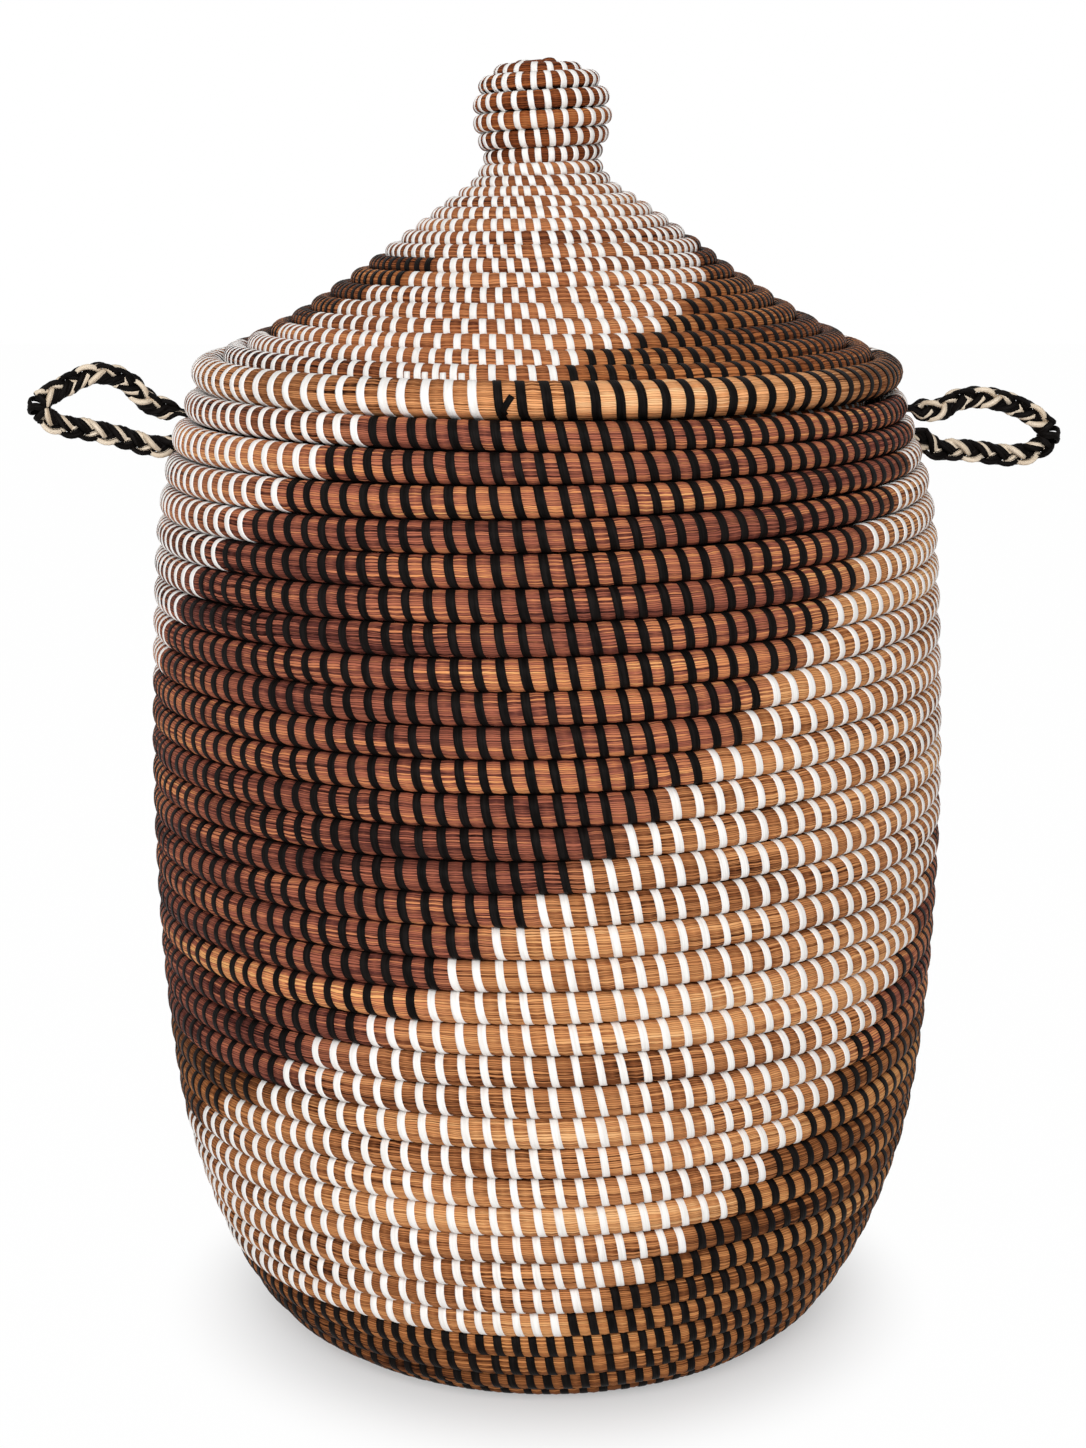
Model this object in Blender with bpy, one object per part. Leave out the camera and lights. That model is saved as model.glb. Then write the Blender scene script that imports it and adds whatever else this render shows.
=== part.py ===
"""Lidded coiled basket with braided loop handles.

Construction follows the real object.  A bundle of dried grass is wound into a spiral: the base
starts at its centre, curls up at the heel and climbs the wall to a level rim.  The lid is wound the
same way from the top of its knob down to a thick rim coil, with a short locating coil underneath
that drops into the mouth.  Each handle is a three-strand braid threaded round the second coil from
the top, its two ends joined by a binding at the tip of the loop.

Every coil is one unbroken tube swept along a spiral.  Distances are metres, +Z is up, the origin is
the centre of the base on the floor, the front faces -Y and the handles lie along X.
"""
import bisect
import math

import bmesh
import bpy
from mathutils import Vector

# body coil
BODY_PITCH = 0.01535          # thickness of the body bundle, turn to turn
COIL_GAP = 0.0006             # daylight left between neighbouring turns
BUTT_GAP = 0.0003             # daylight between the butted ends of two stretches of a bundle
BUTT_RUN = 0.0015             # straight run at each butted end
RIM_THINNING = 0.076          # share by which the bundle is thinner at the rim
RIM_THINNING_TURNS = 3.0      # turns over which that thinning dies out
LEVEL_TURNS = 8.0             # turns over which the spiral is worked level towards the rim
RIM_RADIUS = 0.1736           # centre of the bundle from the axis at the rim
FLOOR_CUT = 0.0005            # depth to which the underside of the base is worn flat
# centre of the bundle above the floor in the flat of the base
BASE_HEIGHT = (BODY_PITCH - COIL_GAP) / 2 * math.cos(math.pi / 6) - FLOOR_CUT
# half section of the body through the centre of the bundle: radius, height
BODY_SECTION = [
    (RIM_RADIUS, 0.4797), (0.1826, 0.4524), (0.1883, 0.4229), (0.1925, 0.3625), (0.1949, 0.2704),
    (0.1914, 0.1784), (0.1842, 0.1175), (0.1767, 0.0877), (0.1665, 0.0587), (0.1526, 0.0322),
    (0.1435, 0.0200), (0.1300, 0.0100), (0.1150, BASE_HEIGHT), (0.0900, BASE_HEIGHT),
    (0.0500, BASE_HEIGHT), (0.0087, BASE_HEIGHT),
]
BASE_RUN = 0.1455             # along the half section, from the heel to the base's centre
STRETCH_TURNS = 10            # turns in each of the two lower stretches of the wall
BODY_PARTS = ("wall_coil_upper", "wall_coil_middle", "wall_coil_lower", "base_coil")
CUTTER_WIDTH = 0.5            # of the block under the floor that flattens the base
CUTTER_DEPTH = 0.02

# lid coils
LID_RIM_BUNDLE = 0.0170       # thickness of the coil that finishes the lid
LID_RIM_INSET = 0.0051        # that coil's centre lies this much inside the body's rim bundle
LID_RIM_RADIUS = RIM_RADIUS - LID_RIM_INSET
LID_SEAT_GAP = 0.0003         # daylight between the lid and the body's rim
LID_JOIN_GAP = 0.0002         # daylight between the rim coil and the coils sewn to it
LID_JOIN_ANGLE = 28.7         # degrees above level at which the cone leaves the rim coil
LID_PITCH = 0.0092            # thickness of the lid bundle at the knob
LID_THICKENING = 0.5          # share by which it is thicker beside the rim coil
LID_THICKENING_TURNS = 4.0
LID_LEVEL_TURNS = 4.0
# half section of the cone: distance inward from the centre of the rim coil, height above it
LID_CONE = [(0.0189, 0.0099), (0.0435, 0.0230), (0.0723, 0.0418), (0.0963, 0.0602)]
# its upper end and the knob: radius, height above the centre of the rim coil
LID_KNOB = [
    (0.0488, 0.0784), (0.0325, 0.0909), (0.0268, 0.0995), (0.0253, 0.1060), (0.0276, 0.1136),
    (0.0298, 0.1232), (0.0290, 0.1327), (0.0250, 0.1420), (0.0168, 0.1478), (0.0060, 0.1490),
]
NECK_TURN = 15.5              # turn at which the knob begins
LOCATING_BUNDLE = 0.0105      # thickness of the coil that drops into the mouth
LOCATING_TURNS = 2.0

# handles
STRAND_RADIUS = 0.0014
STRAND_PRESSED = 0.0009       # strand radius where it is pressed between two coils
STRAND_PRESSED_STEP = 0.0021  # spacing of the three strands side by side in the slit
BRAID_HALF_WIDTH = 0.0032     # sideways swing of a strand's centre
BRAID_HALF_DEPTH = 0.0022     # over-and-under swing of a strand's centre
BRAID_PERIOD = 0.0275         # length of one full weave
BRAID_STARTS = 0.0190         # distance from the threaded coil at which the weave is full
BRAID_ENDS = 0.0085           # distance from it at which the strands lie side by side
THREAD_TURN = 1.0             # the coil that the handle is threaded round, counted from the rim
THREAD_CLEARANCE = 0.0011     # room round a strand in the slit, so that the loop can swing
SLIT_OUTER = 0.0090           # the strands run straight from this far outside the slit
SLIT_INNER = 0.0082           # to this far inside it
INNER_BIGHT = 0.0120          # from the threaded coil's centre to the strands behind it
BIGHT_HALF_HEIGHT = 0.0045    # half of the upright run of the strands behind that coil
ROUTE_STEP = 0.0038           # spacing of a strand's points on the way through the wall
BINDING_RADIUS = 0.0054
BINDING_LENGTH = 0.0130
END_RUN = 0.0010              # straight run at the ends of the strands and of the binding
# route of each loop from the upper slit to the lower: distance outward from the threaded coil,
# height above it; the binding sits at the outermost point
LEFT_LOOP = [(0.0200, 0.0125), (0.0360, 0.0230), (0.0530, 0.0262), (0.0680, 0.0215),
             (0.0762, 0.0105), (0.0690, 0.0022), (0.0530, -0.0005), (0.0360, -0.0028),
             (0.0200, -0.0052)]
RIGHT_LOOP = [(0.0200, 0.0122), (0.0360, 0.0155), (0.0530, 0.0138), (0.0660, 0.0072),
              (0.0716, -0.0028), (0.0650, -0.0112), (0.0530, -0.0128), (0.0360, -0.0105),
              (0.0200, -0.0065)]

COIL_SIDES = 1                # bevel resolution of the coils: six sides
RIM_SIDES = 2                 # of the lid's thick rim coil: eight
STRAND_SIDES = 0              # of a flat strand: four
LOOP_POINTS = 24
FINE_RADIUS = 0.075           # below this radius a turn has half as many points
SCARF_TURNS = 0.625           # how far a bundle's scarfed end runs past its first full turn


def clear_scene():
    for obj in list(bpy.data.objects):
        bpy.data.objects.remove(obj, do_unlink=True)
    for group in (bpy.data.meshes, bpy.data.curves, bpy.data.materials, bpy.data.collections):
        for block in list(group):
            group.remove(block)


def material(name, colour, roughness, metallic=0.0):
    mat = bpy.data.materials.new(name)
    mat.use_nodes = True
    shader = mat.node_tree.nodes["Principled BSDF"]
    shader.inputs["Base Color"].default_value = (*colour, 1.0)
    shader.inputs["Roughness"].default_value = roughness
    shader.inputs["Metallic"].default_value = metallic
    mat.diffuse_color = (*colour, 1.0)
    return mat


class SmoothLine:
    """A smooth curve through a few points, read by the distance travelled along it."""

    def __init__(self, points, samples=24):
        pts = [Vector(p) for p in points]
        pts = [2 * pts[0] - pts[1], *pts, 2 * pts[-1] - pts[-2]]
        self.points, self.lengths = [pts[1]], [0.0]
        for a, b, c, d in zip(pts, pts[1:], pts[2:], pts[3:]):
            # centripetal knots keep the curve from overshooting where the points crowd
            t1 = max((b - a).length, 1e-9) ** 0.5
            t2 = t1 + max((c - b).length, 1e-9) ** 0.5
            t3 = t2 + max((d - c).length, 1e-9) ** 0.5
            for k in range(1, samples + 1):
                t = t1 + (t2 - t1) * k / samples
                ab = a.lerp(b, t / t1)
                bc = b.lerp(c, (t - t1) / (t2 - t1))
                cd = c.lerp(d, (t - t2) / (t3 - t2))
                abc = ab.lerp(bc, t / t2)
                bcd = bc.lerp(cd, (t - t1) / (t3 - t1))
                p = abc.lerp(bcd, (t - t1) / (t2 - t1))
                self.lengths.append(self.lengths[-1] + (p - self.points[-1]).length)
                self.points.append(p)
        self.length = self.lengths[-1]

    def at(self, s):
        i = min(max(bisect.bisect_right(self.lengths, s), 1), len(self.lengths) - 1)
        s0, s1 = self.lengths[i - 1], self.lengths[i]
        return self.points[i - 1].lerp(self.points[i], (s - s0) / (s1 - s0))

    def direction(self, s, step=0.0005):
        return (self.at(s + step) - self.at(s - step)).normalized()


def fade(x):
    x = min(max(x, 0.0), 1.0)
    return x * x * (3 - 2 * x)


class Coil:
    """A bundle wound in a spiral on a half section.

    Turns are counted from a level, scarfed end: turn v has its front at s = v * pitch along the
    section.  hand is the sense in which v runs round the axis, seen from above.
    """

    def __init__(self, section, pitch, hand, level_turns, thinning=0.0, thinning_turns=1.0):
        self.line = SmoothLine(section)
        self.pitch, self.hand, self.level_turns = pitch, hand, level_turns
        self.thinning, self.thinning_turns = thinning, thinning_turns
        half = LOOP_POINTS // 2
        self.turns = math.floor(self.turn_at(self.line.length) * half) / half

    def nominal(self, v):
        """Turns travelled down the section at turn v, worked level near the end."""
        level = min(max(1 - v / self.level_turns, 0.0), 1.0) if self.level_turns else 0.0
        return v - 0.25 * level * math.sin(2 * math.pi * v)

    def distance(self, u):
        thin = self.thinning
        if u < 0:
            return self.pitch * (1 - thin) * u
        return self.pitch * (u - thin * self.thinning_turns
                             * (1 - math.exp(-u / self.thinning_turns)))

    def turn_at(self, s):
        low, high = 0.0, s / self.pitch * 1.5 + 5
        for _ in range(60):
            mid = (low + high) / 2
            low, high = (mid, high) if self.distance(mid) < s else (low, mid)
        return low

    def place(self, v):
        """Distance along the section and thickness of the bundle at turn v."""
        u = self.nominal(v)
        if v < -0.25:
            # the scarf fills the wedge between the turn below and the level rim
            return self.distance(u / 2), self.pitch * (1 - self.thinning) * (1 + u)
        s = self.distance(u)
        before = s - self.distance(self.nominal(v - 1))
        after = self.distance(self.nominal(v + 1)) - s
        return s, min(before, after)

    def point(self, v):
        s, _ = self.place(v)
        r, z = self.line.at(s)
        angle = self.hand * 2 * math.pi * v
        return Vector((r * math.sin(angle), -r * math.cos(angle), z))

    def heading(self, v):
        step = 0.5 / LOOP_POINTS
        return (self.point(v + step) - self.point(v - step)).normalized()

    def tilt(self, v):
        """Turns the six sides so that flats face out and in, and corners face the neighbours."""
        s, _ = self.place(v)
        d = self.line.direction(s)
        return math.atan2(d.x, -d.y) + math.pi / 6

    def fineness(self, v):
        """Points on the turn at v: small turns take half as many."""
        return LOOP_POINTS if self.line.at(self.place(v)[0]).x > FINE_RADIUS else LOOP_POINTS // 2

    def radius(self, v):
        """Radius of the bundle.  Turns of straight runs lie closer than round ones, and so do
        turns that lean in steeply, so both come off before the daylight is shared out."""
        s, thickness = self.place(v)
        lean = math.atan2(thickness, 2 * math.pi * self.line.at(s).x)
        clear = thickness * math.cos(math.pi / self.fineness(v + 1)) * math.cos(lean) ** 2
        return (clear - COIL_GAP) / 2

    def stretch(self, first, last, butt_first=True, butt_last=True):
        """Path of the bundle from turn first to turn last: position, radius and tilt."""
        numbers = range(round(first * LOOP_POINTS), round(last * LOOP_POINTS) + 1)
        turns = [k / LOOP_POINTS for k in numbers
                 if k % (LOOP_POINTS // self.fineness(k / LOOP_POINTS)) == 0]
        path = [(v, self.point(v), self.radius(v), self.tilt(v)) for v in turns]
        # a short straight run squares each butted end to the bundle, so that the ends face
        if butt_first:
            v, p, radius, tilt = path[0]
            along = self.heading(v)
            path[:1] = [(v + 1e-4 * i, p + along * (BUTT_GAP / 2 + i * BUTT_RUN), radius, tilt)
                        for i in (0, 1)]
        if butt_last:
            v, p, radius, tilt = path[-1]
            along = self.heading(v)
            path[-1:] = [(v - 1e-4 * i, p - along * (BUTT_GAP / 2 + i * BUTT_RUN), radius, tilt)
                         for i in (1, 0)]
        return path


def tube(name, path, mat, group, cyclic=False, resolution=COIL_SIDES):
    """One closed tube along points with their own radii."""
    data = bpy.data.curves.new(name, "CURVE")
    data.dimensions = "3D"
    data.twist_mode = "Z_UP"
    data.use_fill_caps = not cyclic
    data.bevel_resolution = resolution
    data.bevel_depth = 1.0
    spline = data.splines.new("POLY")
    spline.points.add(len(path) - 1)
    for point, (_, co, radius, tilt) in zip(spline.points, path):
        point.co = (*co, 1.0)
        point.radius = radius
        point.tilt = tilt
    spline.use_cyclic_u = cyclic
    spline.use_smooth = True
    obj = bpy.data.objects.new(name, data)
    data.materials.append(mat)
    group.objects.link(obj)
    return obj


def as_mesh(obj):
    """Replaces a curve by its mesh with the caps welded on, so that it can be cut."""
    bpy.context.view_layer.update()
    evaluated = obj.evaluated_get(bpy.context.evaluated_depsgraph_get())
    data = bpy.data.meshes.new_from_object(evaluated)
    work = bmesh.new()
    work.from_mesh(data)
    bmesh.ops.remove_doubles(work, verts=work.verts, dist=1e-6)
    work.to_mesh(data)
    work.free()
    name, place, group = obj.name, obj.matrix_world.copy(), obj.users_collection[0]
    bpy.data.objects.remove(obj, do_unlink=True)
    mesh = bpy.data.objects.new(name, data)
    mesh.matrix_world = place
    group.objects.link(mesh)
    mesh.name = name
    return mesh


def stand_flat(obj, cutters):
    """Cuts away what lies below the floor, so that the piece stands on flat turns."""
    bpy.ops.mesh.primitive_cube_add(size=1.0)
    slab = bpy.context.active_object
    slab.name = "floor_cutter"
    slab.scale = (CUTTER_WIDTH, CUTTER_WIDTH, CUTTER_DEPTH)
    slab.location = (0.0, 0.0, -CUTTER_DEPTH / 2)
    for owner in list(slab.users_collection):
        owner.objects.unlink(slab)
    cutters.objects.link(slab)
    slab.hide_render = True
    slab.display_type = "WIRE"
    cut = obj.modifiers.new("floor", "BOOLEAN")
    cut.operation = "DIFFERENCE"
    cut.solver = "EXACT"
    cut.object = slab


def hang_on(obj, pivot):
    """Parents an object to an empty on its joint's axis, leaving it where it is."""
    obj.parent = pivot
    obj.matrix_parent_inverse = pivot.matrix_world.inverted()


def pivot_empty(name, location, group):
    empty = bpy.data.objects.new(name, None)
    empty.empty_display_size = 0.02
    empty.location = location
    group.objects.link(empty)
    bpy.context.view_layer.update()
    return empty


def least_gap(label, path):
    """Smallest daylight between a coil's turns, measured from its points to its own tube."""
    best = 1.0
    for v, p, a, _ in path:
        for (v0, p0, a0, _), (v1, p1, a1, _) in zip(path, path[1:]):
            if not 0.6 < abs((v0 + v1) / 2 - v) < 1.4:
                continue
            line = p1 - p0
            t = min(max((p - p0).dot(line) / line.length_squared, 0.0), 1.0)
            best = min(best, (p - p0 - line * t).length - a - (a0 + (a1 - a0) * t))
    print(f"{label}: {len(path)} points, least gap between turns {best * 1000:.2f} mm")


def squeeze(path, side_turns, amount):
    """Presses the bundle thinner where a handle's strands pass beside it."""
    out = []
    for v, p, a, tilt in path:
        if any(abs(v - t) < 1e-3 for t in side_turns):
            a -= amount
        out.append((v, p, a, tilt))
    return out


def squared(first, second):
    """Unit vector outward through the slit between two coils, square to the line joining them."""
    line = (first - second).normalized()
    return Vector((line.z, 0.0, -line.x)) * (1 if line.z > 0 else -1)


class Handle:
    """A three-strand braid threaded round one coil of the body, on the side at +X or -X."""

    def __init__(self, body, side, loop):
        self.side = side
        self.turn = THREAD_TURN - 0.25 * side
        self.pivot = body.point(self.turn)
        above, below = body.point(self.turn - 1), body.point(self.turn + 1)
        # worked out for the +X side and mirrored
        c, up, down = (Vector((abs(q.x), 0.0, q.z)) for q in (self.pivot, above, below))
        slit_up, slit_down = (c + up) / 2, (c + down) / 2
        out_up, out_down = squared(up, c), squared(c, down)
        behind = -INNER_BIGHT * squared(up, down)
        rise = (up - down).normalized()
        loop = [c + Vector((d, 0.0, h)) for d, h in loop]
        tip = max(range(len(loop)), key=lambda i: loop[i].x)
        inner = [slit_up + SLIT_OUTER * out_up, slit_up, slit_up - SLIT_INNER * out_up,
                 c + behind + BIGHT_HALF_HEIGHT * rise, c + behind - BIGHT_HALF_HEIGHT * rise,
                 slit_down - SLIT_INNER * out_down, slit_down, slit_down + SLIT_OUTER * out_down]
        ring = [*loop[:tip][::-1], *inner, *loop[tip + 1:][::-1]]
        route = [ring[-1], loop[tip], *ring, loop[tip], ring[0]]
        self.centre = c
        self.line = SmoothLine(route)
        samples = (len(self.line.points) - 1) // (len(route) - 1)
        self.first = self.line.lengths[samples]
        self.last = self.line.lengths[samples * (len(route) - 2)]
        self.start, self.stop = self.crossing(self.first, 1), self.crossing(self.last, -1)

    def out(self, l):
        return self.line.at(l).x - self.centre.x

    def crossing(self, l, sense):
        """Where the route comes within BRAID_STARTS of the threaded coil."""
        while self.out(l) > BRAID_STARTS:
            l += sense * 0.0001
        return l

    def mirrored(self, p):
        return Vector((self.side * p.x, p.y, p.z))

    def strand(self, k):
        """Path of strand k, woven outside the wall and side by side through it."""
        step = BRAID_PERIOD / 8
        ends = BINDING_LENGTH / 2 + BUTT_GAP
        woven_in = math.floor((self.start - self.first - ends) / step)
        woven_out = math.floor((self.last - ends - self.stop) / step)
        through = round((self.stop - self.start) / ROUTE_STEP)
        stations = [self.first + ends]
        stations += [self.start - j * step for j in range(woven_in, 0, -1)]
        stations += [self.start + (self.stop - self.start) * j / through for j in range(through + 1)]
        stations += [self.stop + j * step for j in range(1, woven_out + 1)]
        stations.append(self.last - ends)
        if stations[1] - stations[0] < step / 2:
            del stations[1]
        if stations[-1] - stations[-2] < step / 2:
            del stations[-2]
        # each end runs straight for a little way, so that it meets the binding squarely
        stations[1:1] = [stations[0] + END_RUN]
        stations[-1:-1] = [stations[-1] - END_RUN]
        lay = (0, 1, -1)[k] * STRAND_PRESSED_STEP
        path = []
        for l in stations:
            weave = fade((self.out(l) - BRAID_ENDS) / (BRAID_STARTS - BRAID_ENDS))
            woven = min(max(l, stations[1]), stations[-2])
            travelled = min(woven - self.start, 0.0) + max(woven - self.stop, 0.0)
            angle = math.pi / 2 + 2 * math.pi * (travelled / BRAID_PERIOD + k / 3)
            ahead = self.line.direction(l, 0.001)
            across = Vector((-ahead.z, 0.0, ahead.x))
            p = self.line.at(l) + across * weave * BRAID_HALF_WIDTH * math.cos(angle)
            p.y += weave * BRAID_HALF_DEPTH * math.sin(2 * angle) + (1 - weave) * lay
            radius = STRAND_PRESSED + (STRAND_RADIUS - STRAND_PRESSED) * weave ** 2
            path.append((l, self.mirrored(p), radius, 0.0))
        return path

    def binding(self):
        """Barrel round the tip, where the two ends of the braid are tied together."""
        path = []
        half = BINDING_LENGTH / 2
        for l, swell in ((-half, 0.86), (END_RUN - half, 0.92), (-0.5 * half, 1.0), (0.0, 1.0),
                         (0.5 * half, 1.0), (half - END_RUN, 0.92), (half, 0.86)):
            at = self.first + l if l > 0 else self.last + l
            path.append((l, self.mirrored(self.line.at(at)), swell * BINDING_RADIUS, 0.0))
        return path


def build():
    clear_scene()
    group = bpy.data.collections.new("coiled_basket")
    cutters = bpy.data.collections.new("cutters")
    for collection in (group, cutters):
        bpy.context.scene.collection.children.link(collection)

    grass_red = material("dried_grass_red", (0.27, 0.10, 0.05), 0.62)
    grass_gold = material("dried_grass_gold", (0.46, 0.22, 0.10), 0.60)
    grass_dark = material("dried_grass_dark", (0.20, 0.085, 0.045), 0.65)
    black = material("black_strip", (0.018, 0.015, 0.014), 0.42)
    cream = material("cream_strip", (0.72, 0.60, 0.46), 0.45)

    # the body: one spiral bundle in four stretches, butted end to end
    body = Coil(BODY_SECTION, BODY_PITCH, -1, LEVEL_TURNS, RIM_THINNING, RIM_THINNING_TURNS)
    base_turn = round(2 * body.turn_at(body.line.length - BASE_RUN)) / 2
    ends = [-SCARF_TURNS, base_turn - 2 * STRETCH_TURNS, base_turn - STRETCH_TURNS, base_turn, body.turns]
    looks = (grass_red, grass_gold, grass_gold, grass_dark)
    beside = [n + q for n in (THREAD_TURN - 1, THREAD_TURN, THREAD_TURN + 1) for q in (-0.25, 0.25)]
    press = STRAND_PRESSED + THREAD_CLEARANCE - COIL_GAP / 2
    whole = []
    for i, (name, look) in enumerate(zip(BODY_PARTS, looks)):
        path = body.stretch(ends[i], ends[i + 1], i > 0, i < 3)
        if i == 0:
            path = squeeze(path, beside, press)
        stretch = tube(name, path, look, group)
        whole += path
    stand_flat(as_mesh(stretch), cutters)
    least_gap("body coil", whole)

    # the lid rests on the highest part of the rim
    rim_half = LID_RIM_BUNDLE / 2
    seat = max(p.z + math.sqrt(reach ** 2 - off ** 2) for reach, off, p in (
        (a + rim_half + LID_SEAT_GAP, math.hypot(p.x, p.y) - LID_RIM_RADIUS, p)
        for v, p, a, _ in whole if v < 1.0) if abs(off) < reach)
    lid_pivot = pivot_empty("lid_lift_axis", (0.0, 0.0, seat), group)

    angles = [2 * math.pi * k / LOOP_POINTS for k in range(LOOP_POINTS)]
    ring = [(t, Vector((LID_RIM_RADIUS * math.sin(t), -LID_RIM_RADIUS * math.cos(t), seat)),
             rim_half, 0.0) for t in angles]
    hang_on(tube("lid_rim_coil", ring, grass_gold, group, cyclic=True, resolution=RIM_SIDES), lid_pivot)

    join = math.radians(LID_JOIN_ANGLE)
    reach = (LID_RIM_BUNDLE + LID_PITCH * (1 + LID_THICKENING)) / 2 + LID_JOIN_GAP
    cone_section = [(reach * math.cos(join), reach * math.sin(join)), *LID_CONE]
    lid_section = [(LID_RIM_RADIUS - d, h) for d, h in cone_section] + LID_KNOB
    lid = Coil([(r, seat + h) for r, h in lid_section], LID_PITCH, 1, LID_LEVEL_TURNS,
               -LID_THICKENING, LID_THICKENING_TURNS)
    cone = lid.stretch(-SCARF_TURNS, NECK_TURN, butt_first=False)
    knob = lid.stretch(NECK_TURN, lid.turns, butt_last=False)
    hang_on(tube("lid_cone_coil", cone, grass_gold, group), lid_pivot)
    hang_on(tube("lid_knob_coil", knob, grass_gold, group), lid_pivot)
    least_gap("lid coil", cone + knob)

    # the locating coil hangs under the outermost turn of the lid, just inside the rim coil
    half = LOCATING_BUNDLE / 2
    beside_rim = LID_RIM_RADIUS - rim_half - LID_JOIN_GAP - half
    under = min(p.z - math.sqrt(reach ** 2 - off ** 2) for reach, off, p in (
        (a + half, math.hypot(p.x, p.y) - beside_rim, p)
        for v, p, a, _ in cone if v < 1.0) if abs(off) < reach)
    drop = LOCATING_BUNDLE * (LOCATING_TURNS + 1)
    locating = Coil([(beside_rim, under), (beside_rim, under - drop)], LOCATING_BUNDLE, -1,
                    LOCATING_TURNS)
    path = locating.stretch(-SCARF_TURNS, LOCATING_TURNS, False, False)
    hang_on(tube("lid_locating_coil", path, grass_gold, group), lid_pivot)
    least_gap("locating coil", path)

    # handles
    for label, side, loop in (("left", -1, LEFT_LOOP), ("right", 1, RIGHT_LOOP)):
        handle = Handle(body, side, loop)
        pivot = pivot_empty(f"handle_{label}_axis", handle.mirrored(handle.centre), group)
        strands = [handle.strand(k) for k in range(3)]
        for k, path in enumerate(strands):
            look = cream if k == 1 else black
            hang_on(tube(f"handle_{label}_strand_{k + 1}", path, look, group,
                         resolution=STRAND_SIDES), pivot)
        hang_on(tube(f"handle_{label}_binding", handle.binding(), black, group), pivot)
        print(f"{label} handle: pivot", [round(q, 5) for q in pivot.location],
              "strands", round((handle.last - handle.first) * 1000), "mm")

    print("turns of the body", round(body.turns, 2), "of which its wall has", base_turn,
          "turns of the lid", round(lid.turns, 2), "lid rim coil at", round(seat, 5))


build()
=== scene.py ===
# %% [markdown]
# A tall lidded basket in coiled grass. The maker winds a bundle of dried grass into a spiral and
# sews every turn to the one before with flat plastic strip, white or black, so that the change of
# colour draws two swirls round the body and two round the lid. Nothing here is a texture: each
# stitch is its own little ribbon, laid on the same spiral that the solid model is wound on.

# %% Load the frame
import bisect
import math

import bpy
import numpy as np
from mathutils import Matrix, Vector


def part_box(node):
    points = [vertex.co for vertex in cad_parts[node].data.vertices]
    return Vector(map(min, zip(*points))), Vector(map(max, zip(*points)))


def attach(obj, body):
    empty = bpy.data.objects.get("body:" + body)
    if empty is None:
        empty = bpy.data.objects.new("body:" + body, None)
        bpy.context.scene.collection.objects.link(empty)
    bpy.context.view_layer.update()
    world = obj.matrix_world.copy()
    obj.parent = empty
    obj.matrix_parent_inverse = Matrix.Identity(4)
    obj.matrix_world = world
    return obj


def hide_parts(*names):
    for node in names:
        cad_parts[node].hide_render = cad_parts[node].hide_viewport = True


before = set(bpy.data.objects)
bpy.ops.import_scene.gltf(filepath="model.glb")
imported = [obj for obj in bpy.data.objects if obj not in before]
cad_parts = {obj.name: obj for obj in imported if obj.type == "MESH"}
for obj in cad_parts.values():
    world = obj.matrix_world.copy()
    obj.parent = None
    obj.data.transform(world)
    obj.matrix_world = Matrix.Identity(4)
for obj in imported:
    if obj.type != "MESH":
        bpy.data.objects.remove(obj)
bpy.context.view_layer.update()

MM = 0.001
TURN = 2 * math.pi


# %% [markdown]
# The camera stands 1.3 m in front of the basket, as high as the lid's knob, and looks down on it.
# With a portrait frame the lens is easiest to set for the height of the sensor: a picture 1448
# pixels high, with a focal length of 2570 pixels, has a lens of 2570 / 1448 sensor heights.

# %% Camera
IMAGE_HEIGHT = 1448
FOCAL_LENGTH_PIXELS = 2570
SENSOR_HEIGHT = 36.0
EYE = (-0.002, -1.300, 0.602)
LOOK_DOWN = math.radians(12.56)


def add_camera():
    data = bpy.data.cameras.new("camera")
    data.sensor_fit = "VERTICAL"
    data.sensor_height = SENSOR_HEIGHT
    data.lens = SENSOR_HEIGHT * FOCAL_LENGTH_PIXELS / IMAGE_HEIGHT
    camera = bpy.data.objects.new("camera", data)
    camera.location = EYE
    camera.rotation_euler = (math.pi / 2 - LOOK_DOWN, 0.0, 0.0)
    bpy.context.scene.collection.objects.link(camera)
    bpy.context.scene.camera = camera
    return camera


print("lens", round(add_camera().data.lens, 1), "mm")
bpy.context.scene.view_settings.view_transform = "Standard"

# %% [markdown]
# Shader maths reads best as arithmetic. The class below wraps one socket. Its operators add Math
# nodes, also the reflected ones, so that 1 - mask works, and one method adds any other node: it
# takes the node's type, its settings and what goes into its sockets.

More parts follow.
